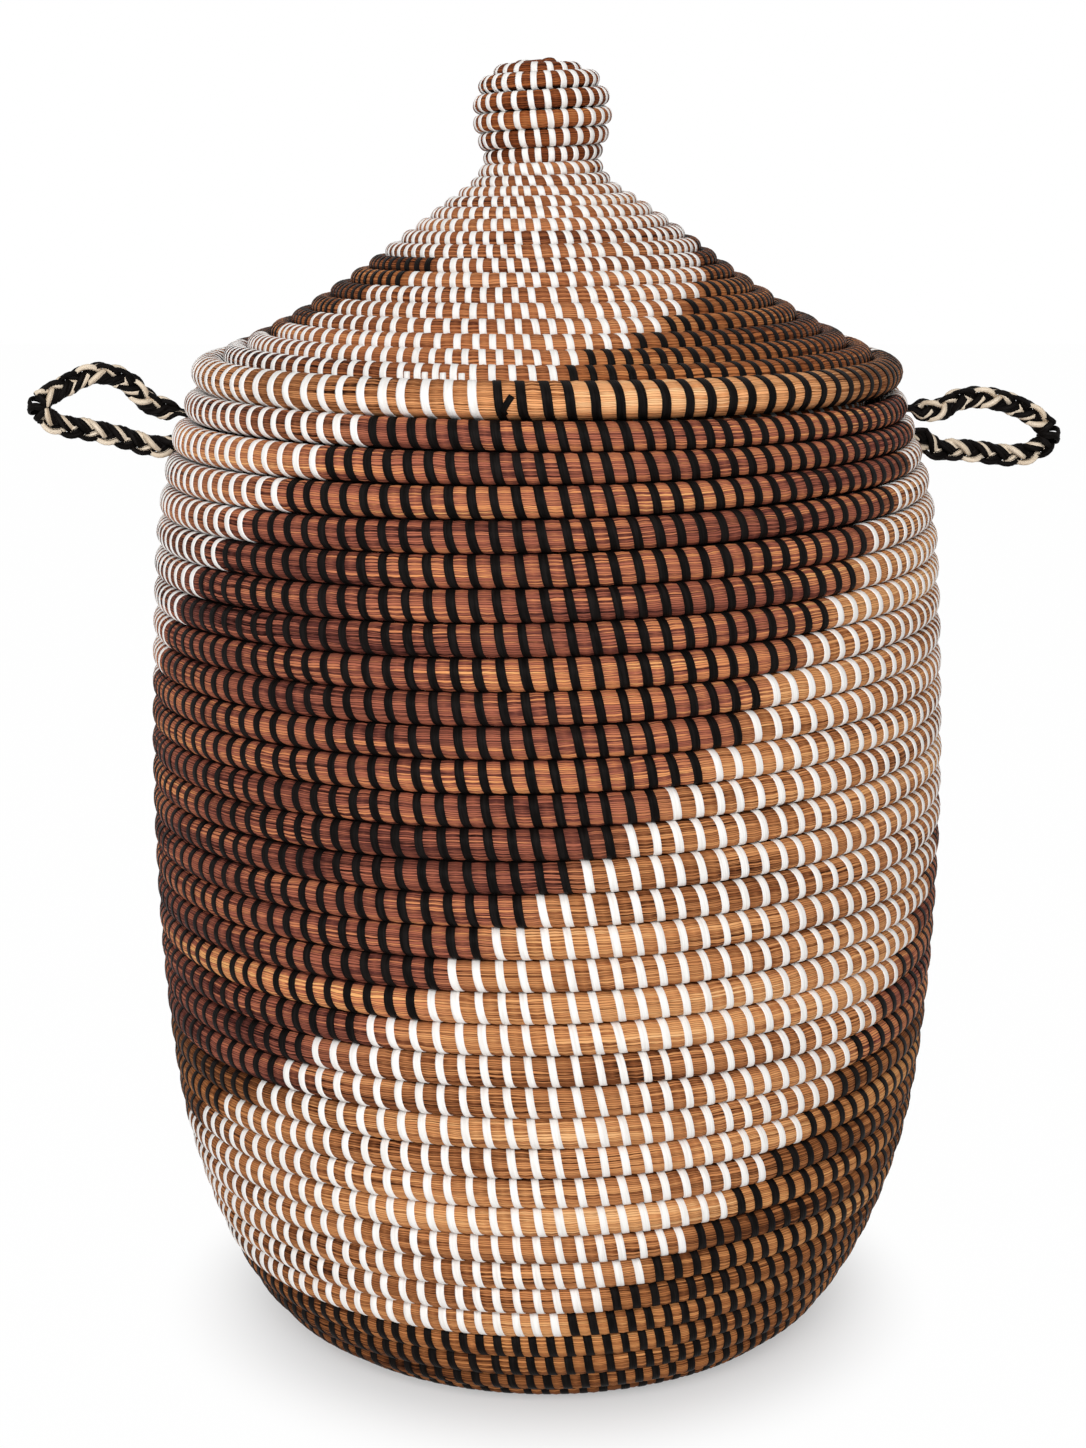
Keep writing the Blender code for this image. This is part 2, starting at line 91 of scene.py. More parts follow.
# %% A socket that does arithmetic
class Wire:
    def __init__(self, tree, socket=None):
        self.tree, self.socket = tree, socket

    def node(self, kind, settings=None, inputs=None, output=0):
        """Adds a node and returns one of its outputs. "stops" sets the colours of a ramp."""
        made = self.tree.nodes.new(kind)
        for name, value in (settings or {}).items():
            if name == "stops":
                stops = made.color_ramp.elements
                while len(stops) < len(value):
                    stops.new(1.0)
                for stop, (position, colour) in zip(stops, value):
                    stop.position, stop.color = position, (*colour, 1.0)
            else:
                setattr(made, name, value)
        for name, value in (inputs or {}).items():
            if isinstance(value, Wire):
                self.tree.links.new(value.socket, made.inputs[name])
            else:
                made.inputs[name].default_value = value
        return Wire(self.tree, made.outputs[output])

    def maths(self, operation, first, second):
        return self.node("ShaderNodeMath", {"operation": operation}, {0: first, 1: second})

    def __add__(self, other):
        return self.maths("ADD", self, other)

    def __sub__(self, other):
        return self.maths("SUBTRACT", self, other)

    def __rsub__(self, other):
        return self.maths("SUBTRACT", other, self)

    def __mul__(self, other):
        return self.maths("MULTIPLY", self, other)

    __radd__, __rmul__ = __add__, __mul__

    def smooth(self, low, high):
        """0 below low, 1 above high, with a soft step between; low may be the larger."""
        return self.node("ShaderNodeMapRange", {"interpolation_type": "SMOOTHSTEP"},
                         {"Value": self, "From Min": low, "From Max": high})

    def blend(self, first, second):
        """Mixes two colours, this wire being the share of the second."""
        return self.node("ShaderNodeMix", {"data_type": "RGBA"}, {0: self, 6: first, 7: second}, 2)


def colour(red, green, blue):
    """A colour as seen on a screen, 0 to 255, in the linear numbers that a shader wants."""
    return tuple((q / 255 / 12.92) if q <= 10 else ((q / 255 + 0.055) / 1.055) ** 2.4
                 for q in (red, green, blue))


# the output of a Texture Coordinate node that gives the place on the object, in metres
PLACE_ON_OBJECT = 3


def new_material(name):
    """A material with its Principled node, and a bare wire to start expressions from."""
    material = bpy.data.materials.new(name)
    material.use_nodes = True
    tree = material.node_tree
    return material, tree.nodes["Principled BSDF"], Wire(tree)


# %% [markdown]
# The basket is lit like a catalogue picture: one broad soft light in front and above, a weaker one
# on each side, and a pale surround. The floor has to be white in the picture and still keep the
# basket's shadow, so it mixes plain shading with a white that only the camera and mirror-like
# rays see.

# %% Lights, surround and floor
SURROUND_LEVEL = 0.20
LAMPS = [
    # name, where it stands, width and height, watts
    ("front_softbox", (-0.2, -2.8, 1.7), (2.2, 1.6), 80.0),
    ("left_softbox", (-2.6, -1.0, 1.3), (1.4, 1.8), 9.0),
    ("right_softbox", (2.7, -0.8, 1.4), (1.4, 1.8), 4.0),
    ("top_softbox", (0.2, 0.3, 2.9), (1.8, 1.8), 7.0),
]
AIM = (0.0, 0.0, 0.32)
FLOOR_SIZE = 14.0
FLOOR_GREY = 243
# share of pure white in the floor close to the basket, how much more of it there is far off, and
# the distances from the axis between which it rises, in metres
WHITE_NEAR, WHITE_RISE = 0.32, 0.67
RISE_FROM, RISE_TO = 0.12, 0.21


def aim(obj, target):
    obj.rotation_euler = (Vector(target) - obj.location).to_track_quat("-Z", "Y").to_euler()


def add_lamps():
    for name, place, (width, height), watts in LAMPS:
        data = bpy.data.lights.new(name, "AREA")
        data.shape, data.size, data.size_y, data.energy = "RECTANGLE", width, height, watts
        lamp = bpy.data.objects.new(name, data)
        lamp.location = place
        aim(lamp, AIM)
        bpy.context.scene.collection.objects.link(lamp)


def white_to_lookers(wire):
    """1 for rays from the camera and for those that a mirror or glass sends on, else 0."""
    path = wire.node("ShaderNodeLightPath").socket.node
    camera, glossy, through = (Wire(wire.tree, path.outputs[f"Is {kind} Ray"])
                               for kind in ("Camera", "Glossy", "Transmission"))
    return wire.maths("MINIMUM", camera + glossy + through, 1.0)


def add_surround():
    world = bpy.data.worlds.new("surround")
    bpy.context.scene.world = world
    world.use_nodes = True
    wire = Wire(world.node_tree)
    background = world.node_tree.nodes["Background"]
    background.inputs["Color"].default_value = (1.0, 1.0, 1.0, 1.0)
    strength = SURROUND_LEVEL + white_to_lookers(wire) * (1 - SURROUND_LEVEL)
    world.node_tree.links.new(strength.socket, background.inputs["Strength"])


def floor_material():
    material, shader, wire = new_material("pale_floor")
    shader.inputs["Base Color"].default_value = (*colour(FLOOR_GREY, FLOOR_GREY, FLOOR_GREY), 1.0)
    shader.inputs["Roughness"].default_value = 0.85
    place = wire.node("ShaderNodeTexCoord", output=PLACE_ON_OBJECT)
    distance = wire.node("ShaderNodeVectorMath", {"operation": "LENGTH"}, {0: place}, 1)
    far = distance.smooth(RISE_FROM, RISE_TO)
    share = white_to_lookers(wire) * (WHITE_NEAR + far * WHITE_RISE)
    glow = wire.node("ShaderNodeEmission",
                     inputs={"Color": (1.0, 1.0, 1.0, 1.0), "Strength": 1.0})
    surface = Wire(wire.tree, shader.outputs[0])
    mixed = wire.node("ShaderNodeMixShader", inputs={0: share, 1: surface, 2: glow})
    wire.tree.links.new(mixed.socket, wire.tree.nodes["Material Output"].inputs["Surface"])
    return material


def add_floor():
    half = FLOOR_SIZE / 2
    data = bpy.data.meshes.new("floor")
    data.from_pydata([(-half, -half, 0), (half, -half, 0), (half, half, 0), (-half, half, 0)],
                     [], [(0, 1, 2, 3)])
    data.materials.append(floor_material())
    floor = bpy.data.objects.new("floor", data)
    bpy.context.scene.collection.objects.link(floor)


add_lamps()
add_surround()
add_floor()
print("lamps", [lamp[0] for lamp in LAMPS])

# %% [markdown]
# Dried grass is hundreds of thin straws lying along the bundle. The meshes carry a map called
# "lay": metres along the bundle across, metres round it up. Stretched Voronoi cells in that map
# are single straws, each with a tone of its own and a dark line at its edge. Slower noise along
# the bundle brings in the golden stretches that a maker gets from a new handful of grass. A value
# called "grass" on every point says how hard the sewing presses the straws there (red) and how
# much white strip lies round about (green): pressed straws part and open dark gaps, partly painted
# shade beside and under the strips, and the grass between white stitches is the paler kind. Its
# blue is 1 in the grooves between turns, where the grass is darkened as painted shade. Towards the
# left side of the basket the grass is redder and darker.

# %% Dried grass
STRAWS_PER_METRE = 1050.0
STRAW_LENGTHS_PER_METRE = 11.0
RAMP_PLACES = (0.02, 0.26, 0.50, 0.70, 0.96)
# how much each thing lightens or darkens a straw, as shares of the ramp
MIDDLE_TONE, OWN_TONE, STREAK_TONE, HANDFUL_TONE = 0.58, 0.26, 0.16, 1.25
# the joint tone darkens the grass as painted shade in the grooves between turns; the pressed gap
# tone darkens pressed gaps, partly for the parted straws and partly as painted shade beside the
# strips
GAP_TONE, PRESSED_GAP_PAINTED_SHADE, CRACK_TONE, PAINTED_JOINT_SHADE, RED_SIDE_TONE = 0.20, 0.08, 0.20, 0.75, 0.13
# how much each thing stands out or is sunk, as shares of the relief
STRAW_RELIEF, STREAK_RELIEF, GAP_RELIEF, PRESSED_GAP_RELIEF, CRACK_RELIEF = 0.35, 0.4, 0.7, 0.6, 0.5
RELIEF = 0.35 * MM
# across the basket, the places between which the grass turns redder and darker towards the left,
# and the share of its paleness that it loses there
RED_SIDE_FROM, RED_SIDE_TO, PALENESS_LOST = 0.03, -0.15, 0.5
GRASS_ROUGHNESS, GRASS_SHINE = 0.50, 0.03


def tones(*colours):
    """Ramp stops from the dark gaps between straws to the palest straw."""
    return [(place, colour(*c)) for place, c in zip(RAMP_PLACES, colours)]


def dried_grass(name, dark_kind, pale_kind, seed):
    """Grass of two kinds, each a list of ramp stops, mixed by the green of "grass"."""
    material, shader, wire = new_material(name)
    lay = wire.node("ShaderNodeUVMap", {"uv_map": "lay"})
    parts = wire.node("ShaderNodeSeparateXYZ", inputs={0: lay}).socket.node
    along, around = Wire(wire.tree, parts.outputs[0]), Wire(wire.tree, parts.outputs[1])
    carried = wire.node("ShaderNodeAttribute", {"attribute_name": "grass"})
    carried = wire.node("ShaderNodeSeparateColor", inputs={0: carried}).socket.node
    pressed, pale, painted_joint_shade = (Wire(wire.tree, carried.outputs[k]) for k in range(3))

    def noise(per_metre_along, per_metre_around, detail=2.0):
        at = wire.node("ShaderNodeCombineXYZ", inputs={
            0: along * per_metre_along + seed, 1: around * per_metre_around, 2: seed})
        return wire.node("ShaderNodeTexNoise", {"noise_dimensions": "3D"},
                         {"Vector": at, "Scale": 1.0, "Detail": detail, "Roughness": 0.55})

    # straws aren't ruled lines: each wanders by about its own width
    wander = (noise(26.0, 60.0) - 0.5) * 4.2 + (noise(120.0, 300.0) - 0.5) * 0.6
    cell = wire.node("ShaderNodeCombineXYZ", inputs={
        0: along * STRAW_LENGTHS_PER_METRE + seed, 1: around * STRAWS_PER_METRE + wander, 2: 0.0})
    straw = {"Vector": cell, "Scale": 1.0, "Randomness": 0.85}
    own = wire.node("ShaderNodeTexVoronoi", {"voronoi_dimensions": "2D"}, straw, 1)
    own_tone = wire.node("ShaderNodeSeparateColor", inputs={0: own})
    edge = wire.node("ShaderNodeTexVoronoi",
                     {"voronoi_dimensions": "2D", "feature": "DISTANCE_TO_EDGE"}, straw)
    # the gaps open wider where the sewing presses, and their extra dark there is partly the parted
    # straws and partly painted shade beside and under the strips
    gap = (edge - pressed * 0.05).smooth(0.15, 0.0)
    crack = noise(9.0, 700.0, 1.0).smooth(0.60, 0.72)
    streak = noise(9.0, 260.0)
    handful = noise(3.2, 22.0, 3.0)
    place = wire.node("ShaderNodeTexCoord", output=PLACE_ON_OBJECT)
    rightward = wire.node("ShaderNodeSeparateXYZ", inputs={0: place})
    redder = rightward.smooth(RED_SIDE_FROM, RED_SIDE_TO)
    # the joint term here is painted shade in the grooves between turns
    tone = (MIDDLE_TONE + (own_tone - 0.5) * OWN_TONE + (streak - 0.5) * STREAK_TONE
            + (handful - 0.5) * HANDFUL_TONE - gap * (GAP_TONE + pressed * PRESSED_GAP_PAINTED_SHADE)
            - crack * CRACK_TONE - painted_joint_shade * PAINTED_JOINT_SHADE - redder * RED_SIDE_TONE)
    pale = pale * (1 - redder * PALENESS_LOST)
    kinds = [wire.node("ShaderNodeValToRGB", {"stops": kind}, {0: tone})
             for kind in (dark_kind, pale_kind)]
    mixed = pale.smooth(0.15, 0.85).blend(*kinds)
    wire.tree.links.new(mixed.socket, shader.inputs["Base Color"])
    rough = GRASS_ROUGHNESS + own_tone * 0.12 + gap * 0.2
    wire.tree.links.new(rough.socket, shader.inputs["Roughness"])
    height = (own_tone * STRAW_RELIEF - gap * (GAP_RELIEF + pressed * PRESSED_GAP_RELIEF)
              + streak * STREAK_RELIEF - crack * CRACK_RELIEF)
    bump = wire.node("ShaderNodeBump", inputs={
        "Height": height, "Distance": RELIEF, "Strength": 1.0})
    wire.tree.links.new(bump.socket, shader.inputs["Normal"])
    shader.inputs["Specular IOR Level"].default_value = GRASS_SHINE
    return material


# %% The kinds of grass
RED = tones((24, 9, 7), (100, 54, 47), (170, 99, 76), (220, 145, 94), (254, 200, 128))
GOLD = tones((40, 18, 9), (132, 78, 46), (198, 133, 84), (226, 164, 108), (250, 204, 150))
BROWN = tones((24, 11, 6), (98, 56, 32), (162, 102, 60), (204, 138, 84), (238, 178, 114))
LID_DARK = tones((26, 11, 6), (94, 50, 30), (156, 92, 53), (192, 122, 73), (228, 164, 104))
LID_PALE = tones((34, 15, 8), (106, 57, 36), (166, 101, 63), (196, 128, 82), (230, 168, 114))
KNOB = tones((24, 10, 5), (82, 40, 21), (132, 70, 38), (170, 100, 56), (214, 146, 88))
RIM_DARK = tones((20, 9, 5), (84, 46, 26), (134, 82, 49), (172, 114, 72), (216, 156, 106))
RIM = tones((44, 20, 10), (160, 100, 60), (226, 156, 102), (244, 180, 126), (254, 210, 158))
grass = {
    "upper": dried_grass("upper_wall_grass", RED, GOLD, 3.0),
    "lower": dried_grass("lower_wall_grass", BROWN, GOLD, 11.0),
    "lid": dried_grass("lid_grass", LID_DARK, LID_PALE, 23.0),
    "knob": dried_grass("knob_grass", KNOB, KNOB, 31.0),
    "rim": dried_grass("lid_rim_grass", RIM_DARK, RIM, 37.0),
}
print("grass finishes", sorted(grass))

# %% [markdown]
# The sewing strip is flat extruded plastic, a few millimetres wide. It has fine ridges along its
# length and a satin shine. The same map gives the place across the strip, so a few sine waves
# across it make the ridges, and slow noise takes the newness off.

# %% Plastic strip
RIDGES_PER_METRE = 900.0
SCUFFS_ALONG, SCUFFS_ACROSS = 60.0, 700.0
RIDGE_HEIGHT = 0.12 * MM


def plastic_strip(name, base, worn, roughness, ridge, shine):
    material, shader, wire = new_material(name)
    lay = wire.node("ShaderNodeUVMap", {"uv_map": "lay"})
    parts = wire.node("ShaderNodeSeparateXYZ", inputs={0: lay}).socket.node
    along, across = Wire(wire.tree, parts.outputs[0]), Wire(wire.tree, parts.outputs[1])
    at = wire.node("ShaderNodeCombineXYZ", inputs={
        0: along * SCUFFS_ALONG, 1: across * SCUFFS_ACROSS, 2: 0.5})
    scuff = wire.node("ShaderNodeTexNoise", inputs={"Vector": at, "Scale": 1.0, "Detail": 2.0})
    mixed = scuff.smooth(0.35, 0.75).blend((*base, 1.0), (*worn, 1.0))
    wire.tree.links.new(mixed.socket, shader.inputs["Base Color"])
    rough = roughness + (scuff - 0.5) * 0.22
    wire.tree.links.new(rough.socket, shader.inputs["Roughness"])
    wave = wire.node("ShaderNodeMath", {"operation": "SINE"},
                     {0: across * (RIDGES_PER_METRE * TURN)})
    bump = wire.node("ShaderNodeBump", inputs={
        "Height": wave * ridge + scuff * 0.6, "Distance": RIDGE_HEIGHT, "Strength": 0.6})
    wire.tree.links.new(bump.socket, shader.inputs["Normal"])
    shader.inputs["Specular IOR Level"].default_value = shine
    return material


# colour new and worn, roughness, height of the ridges and shine
STRIPS = {
    "white": ((243, 241, 238), (230, 226, 221), 0.45, 0.5, 0.3),
    "black": ((15, 13, 12), (27, 24, 23), 0.42, 0.6, 0.02),
    "cream": ((226, 210, 188), (204, 184, 158), 0.45, 0.5, 0.3),
}
strip = {kind: plastic_strip(f"{kind}_strip", colour(*new), colour(*worn), *finish)
         for kind, (new, worn, *finish) in STRIPS.items()}
print("strips", sorted(strip))

# %% [markdown]
# Two kinds of thing are swept along a line here: grass bundles and strips. Both are grids of
# points, so one function turns a grid into a closed mesh with its "lay" map. Building with arrays
# keeps a few million faces quick, where adding them one by one would take minutes.

# %% From grids of points to a mesh
class Sweeps:
    """Collects closed tubes given as points[tube, station, round, xyz] and makes one mesh."""

    def __init__(self):
        self.points, self.faces, self.maps, self.carried, self.count = [], [], [], [], 0

    def add(self, points, along, around, carried=None):
        """along[tube, station] and around[round + 1] are metres, for the map; carried is the
        value called "grass" for each point."""
        if carried is not None:
            self.carried.append(carried.reshape(-1, 4))
        tubes, stations, sides = points.shape[:3]
        number = np.arange(tubes * stations * sides).reshape(tubes, stations, sides) + self.count
        onward = np.roll(number, -1, axis=2)
        side = np.stack([number[:, :-1], number[:, 1:], onward[:, 1:], onward[:, :-1]], axis=-1)
        x = np.broadcast_to(along[:, :, None], (tubes, stations, sides))
        y0, y1 = (np.broadcast_to(q, (tubes, stations - 1, sides))
                  for q in (around[:-1], around[1:]))
        lay = np.stack([np.stack([x[:, :-1], y0], -1), np.stack([x[:, 1:], y0], -1),
                        np.stack([x[:, 1:], y1], -1), np.stack([x[:, :-1], y1], -1)], axis=-2)
        self.faces.append(side.reshape(-1, 4))
        self.maps.append(lay.reshape(-1, 4, 2))
        half = np.arange(sides // 2 - 1)
        for end, order in ((0, 1), (stations - 1, -1)):
            ring = number[:, end]
            corners = np.stack([ring[:, half], ring[:, half + 1], ring[:, sides - 2 - half],
                                ring[:, sides - 1 - half]], axis=-1)[..., ::order]
            self.faces.append(corners.reshape(-1, 4))
            self.maps.append(np.zeros((corners.size // 4, 4, 2)))
        self.points.append(points.reshape(-1, 3))
        self.count += tubes * stations * sides

    def mesh(self, name, material):
        points, faces, lay = (np.concatenate(q) for q in (self.points, self.faces, self.maps))
        a, b, c = (points[faces[:, k]] for k in range(3))
        if np.einsum("ij,ij->i", np.cross(b, c), a).sum() < 0:
            faces, lay = faces[:, ::-1], lay[:, ::-1]
        data = bpy.data.meshes.new(name)
        data.vertices.add(len(points))
        data.vertices.foreach_set("co", points.astype(np.float32).ravel())
        data.loops.add(faces.size)
        data.loops.foreach_set("vertex_index", faces.astype(np.int32).ravel())
        data.polygons.add(len(faces))
        data.polygons.foreach_set("loop_start", np.arange(0, faces.size, 4, dtype=np.int32))
        data.update(calc_edges=True)
        data.uv_layers.new(name="lay").data.foreach_set("uv", lay.astype(np.float32).ravel())
        if self.carried:
            values = np.concatenate(self.carried).astype(np.float32)
            carrier = data.attributes.new("grass", "FLOAT_COLOR", "POINT")
            carrier.data.foreach_set("color", values.ravel())
        data.shade_smooth()
        data.materials.append(material)
        return data

    def piece(self, name, body, material, slot, replaces=()):
        obj = bpy.data.objects.new(name, self.mesh(name, material))
        bpy.context.scene.collection.objects.link(obj)
        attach(obj, body)
        if replaces:
            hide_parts(*replaces)
        print(f"{name}: {2 * len(obj.data.polygons)} triangles")
        return obj


# %% [markdown]
# A spiral worked over a half section. The section is a smooth line through a few points, given as
# radius and height from the rim inward, and the bundle's front moves along it by one thickness a
# turn. The thickness itself changes: it is given at a few turns. Near the rim the maker tapers the
# end of the bundle and works the spiral level, so that the edge is flat all round: a share of the
# turn is taken off on one side of the basket and added on the other.

# %% A smooth line through a few points
def unit(q):
    return q / np.linalg.norm(q, axis=-1, keepdims=True)


class SmoothLine:
    """A smooth curve through a few points, read by the distance travelled along it."""

    def __init__(self, points, samples=24):
        pts = [np.array(p, float) for p in points]
        pts = [2 * pts[0] - pts[1], *pts, 2 * pts[-1] - pts[-2]]
        out = [pts[1]]
        for a, b, c, d in zip(pts, pts[1:], pts[2:], pts[3:]):
            t1 = np.linalg.norm(b - a) ** 0.5
            t2 = t1 + np.linalg.norm(c - b) ** 0.5
            t3 = t2 + np.linalg.norm(d - c) ** 0.5
            for t in t1 + (t2 - t1) * np.arange(1, samples + 1) / samples:
                ab, bc, cd = (a + (b - a) * t / t1, b + (c - b) * (t - t1) / (t2 - t1),
                              c + (d - c) * (t - t2) / (t3 - t2))
                abc, bcd = ab + (bc - ab) * t / t2, bc + (cd - bc) * (t - t1) / (t3 - t1)
                out.append(abc + (bcd - abc) * (t - t1) / (t2 - t1))
        self.points, self.samples = np.array(out), samples
        steps = np.linalg.norm(np.diff(self.points, axis=0), axis=1)
        self.lengths = np.concatenate([[0.0], np.cumsum(steps)])
        self.length = self.lengths[-1]

    def at(self, s):
        """The point at distance s; before the start and after the end the line runs straight on."""
        first, last = self.points[1] - self.points[0], self.points[-1] - self.points[-2]
        before = np.minimum(s, 0.0)[..., None] * unit(first)
        after = np.maximum(s - self.length, 0.0)[..., None] * unit(last)
        between = np.stack([np.interp(s, self.lengths, q) for q in self.points.T], axis=-1)
        return between + before + after

    def direction(self, s, step=0.0015):
        return unit(self.at(s + step) - self.at(s - step))


# %% The spiral
MOST_TURNS, STEPS_PER_TURN = 60, 100
# turn before which the bundle's first end tapers, and the thinnest that an end gets, as a share
TAPERS_BEFORE, THINNEST = -0.25, 0.12


def axes_at(angle):
    """Unit vectors away from the axis, at an angle from the front towards the right, and up."""
    return np.stack([np.sin(angle), -np.cos(angle), 0 * angle], -1), np.array([0, 0, 1.0])


class Coil:
    """A bundle wound on a half section. hand is the sense in which its turns are counted, seen
    from above, and side is 1 if the section runs down the outside of the work and -1 if up."""

    def __init__(self, section, thickness, hand, side, levelling):
        self.line = SmoothLine(section)
        self.hand, self.side, self.levelling = hand, side, np.array(levelling).T
        self.edge = thickness[0][1]
        self.steps = np.linspace(0.0, MOST_TURNS, MOST_TURNS * STEPS_PER_TURN + 1)
        each = np.interp(self.steps, *np.array(thickness).T)
        middle = (each[1:] + each[:-1]) / 2 * np.diff(self.steps)
        self.travelled = np.concatenate([[0.0], np.cumsum(middle)])
        self.turns = float(np.interp(self.line.length, self.travelled, self.steps))

    def nominal(self, v):
        return v - np.interp(v, *self.levelling) * np.sin(TURN * v)

    def distance(self, u):
        return np.where(u < 0, self.edge * u, np.interp(u, self.steps, self.travelled))

    def place(self, v):
        """Distance along the section and thickness of the bundle at turn v."""
        u = self.nominal(v)
        s = self.distance(u)
        before = s - self.distance(self.nominal(v - 1))
        after = self.distance(self.nominal(v + 1)) - s
        tapered = v < TAPERS_BEFORE
        thinned = self.edge * np.clip(1 + u, THINNEST, 1.0)
        return (np.where(tapered, self.distance(u / 2), s),
                np.where(tapered, thinned, np.minimum(before, after)))

    def frame(self, v):
        """Centre, outward and edgeward unit vectors, bundle radius and distance from the axis."""
        s, thickness = self.place(v)
        section, d = self.line.at(s), self.line.direction(s)
        ahead, up = axes_at(self.hand * TURN * v)
        centre = section[..., :1] * ahead + section[..., 1:] * up
        outward = self.side * (-d[..., 1:] * ahead + d[..., :1] * up)
        edgeward = -(d[..., :1] * ahead + d[..., 1:] * up)
        return centre, outward, edgeward, thickness / 2, section[..., 0]


# %% [markdown]
# The spirals need the solid model's own driving sizes, in metres: the half section of the body
# from the rim to the middle of the base, the half section of the lid above its seat, and the
# thickness of the bundle, which gets less towards the rim and towards the knob. Then every piece
# lies on the solid that it stands for.

# %% Sizes of the body and of the lid
BASE_HEIGHT = 0.0059
BODY_SECTION = [
    (0.1736, 0.4797), (0.1826, 0.4524), (0.1883, 0.4229), (0.1925, 0.3625), (0.1949, 0.2704),
    (0.1914, 0.1784), (0.1842, 0.1175), (0.1767, 0.0877), (0.1665, 0.0587), (0.1526, 0.0322),
    (0.1435, 0.0200), (0.1300, 0.0100), (0.1150, BASE_HEIGHT), (0.0900, BASE_HEIGHT),
    (0.0500, BASE_HEIGHT), (0.0087, BASE_HEIGHT),
]
LID_SECTION = [
    (0.1548, 0.0075), (0.1496, 0.0099), (0.1250, 0.0230), (0.0962, 0.0418), (0.0722, 0.0602),
    (0.0488, 0.0780), (0.0325, 0.0903), (0.0268, 0.0987), (0.0253, 0.1050), (0.0276, 0.1124),
    (0.0298, 0.1218), (0.0290, 0.1311), (0.0252, 0.1397), (0.0172, 0.1444), (0.0062, 0.1462),
]
LID_RIM_RADIUS, LID_RIM_BUNDLE = 0.1685, 0.0170
rim_low, rim_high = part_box("lid_rim_coil")
SEAT = (rim_low[2] + rim_high[2]) / 2
# thickness of the bundle at a few turns
BODY_BUNDLE = [(0, 0.01418), (1, 0.01451), (2, 0.01475), (3, 0.01492), (5, 0.01513), (8, 0.01527),
               (12, 0.01535), (60, 0.01535)]
LID_BUNDLE = [(0, 0.0138), (1, 0.0136), (2, 0.0132), (3, 0.0124), (5, 0.0120), (6, 0.0115),
              (7, 0.0101), (10, 0.0095), (13, 0.0082), (14, 0.0072), (15, 0.0069), (16, 0.0085),
              (18, 0.0089), (19, 0.0095), (60, 0.0095)]
# share of a turn by which the spiral is levelled, at a few turns
BODY_LEVELLING = [(0.0, 0.25), (1.0, 0.08), (2.0, -0.08), (3.0, -0.14), (6.0, -0.17),
                  (12.0, -0.12), (17.0, -0.05), (21.0, 0.0), (27.0, 0.07), (31.0, 0.0)]
LID_LEVELLING = [(0.0, 0.25), (4.0, 0.0)]
body_coil = Coil(BODY_SECTION, BODY_BUNDLE, -1, 1, BODY_LEVELLING)
print("turns of the body", round(body_coil.turns, 1))

# %% [markdown]
# The maker sews each stitch beside the stitch of the turn below, so stitches line up in columns.
# Where the basket gets wider the columns spread until one more stitch fits in, and where it gets
# narrower one is left out. The function walks along the bundle and does the same: each step
# is the usual spacing, pulled part of the way to the nearest column of the turn before.

# %% Where the stitches go
chance = np.random.default_rng(7)
# at most these shares of a stitch are taken off or added to meet a column
MOST_TAKEN, MOST_ADDED = 0.13, 0.15


def stitch_turns(coil, first, last, spacing, drift=0.0, pull=0.5, loose=0.025):
    """Turns at which stitches lie, from first to last; spacing(turn, radius) is in metres. The
    first turn has no columns to follow."""
    turns = [first]
    while turns[-1] < last:
        v = turns[-1]
        radius = float(coil.frame(np.array(v))[4])
        step = spacing(v, radius) / (TURN * radius)
        near = bisect.bisect_left(turns, v + step - 1)
        columns = [turns[k] + 1 + drift * step for k in (near - 1, near) if 0 <= k < len(turns)]
        misses = [q - v - step for q in columns if abs(q - v - step) < step]
        off = min(misses, key=abs, default=0.0) / step
        pulled = 1 + float(np.clip(pull * off, -MOST_TAKEN, MOST_ADDED))
        turns.append(v + (pulled + float(chance.normal(0.0, loose))) * step)
    return np.array(turns[:-1])


# %% [markdown]
# A stitch is one wrap of strip: it comes out of the turn below on the inside, goes up over the
# bundle, leans a few millimetres as it comes down the outside, and goes in again between this turn
# and the one below. Squeezed between its neighbours, the bundle is squarer than a circle. Each
# wrap pinches it a little, and it swells between wraps; its rings are bent by the same lean, so
# that every pinch follows its strip.

# %% The section of a bundle
SQUARENESS = 2.25
INSIDE_SUNK = 0.3 * MM
DENT_DEPTH, DENT_REACH = 1.9 * MM, 9 * MM
# degrees round the bundle: 0 faces out, 90 the turn before, -90 the next; finer where it shows
SEEN_ANGLES = [97.5 - 15 * k for k in range(14)]
RING_ANGLES = np.radians(SEEN_ANGLES + [-97.5 - 33 * k for k in range(1, 5)])
WRAP_ANGLES = np.radians([229.5, 196.5, 163.5, 130.5] + SEEN_ANGLES)
# a wrap's lean: what it has from the start, and what is added on the way down
STEADY_LEAN, GROWING_LEAN = 0.55, 0.45


def plump(angle):
    """Radius of the squeezed section as a share of a circle's."""
    across, upward = (np.abs(q) ** SQUARENESS for q in (np.cos(angle), np.sin(angle)))
    return (across + upward) ** (-1 / SQUARENESS)


def outside_share(angle):
    """1 on the outside of the bundle, falling to 0 on the inside."""
    return np.clip(0.5 + 0.9 * np.cos(angle), 0.0, 1.0)


def lean_offset(angle, lean, spacing):
    """Metres along the bundle, towards higher turns, at an angle round it."""
    t = (math.pi / 2 - angle) / math.pi
    outside = 0.5 * lean - lean * (STEADY_LEAN * t + GROWING_LEAN * t * t)
    inside = 0.5 * lean - (spacing - lean) * t
    return np.where(t >= 0, outside, inside)


def dent(coil, v, dents):
    """How much a handle's strands press the bundle at turns v."""
    if not dents:
        return 0 * v
    metres = TURN * coil.frame(v)[4]
    return sum(DENT_DEPTH * np.exp(-((v - q) * metres / DENT_REACH) ** 4) for q in dents)


# %% A bundle
PINCH, SWELL, LUMP = 0.26 * MM, 0.12 * MM, 0.14 * MM
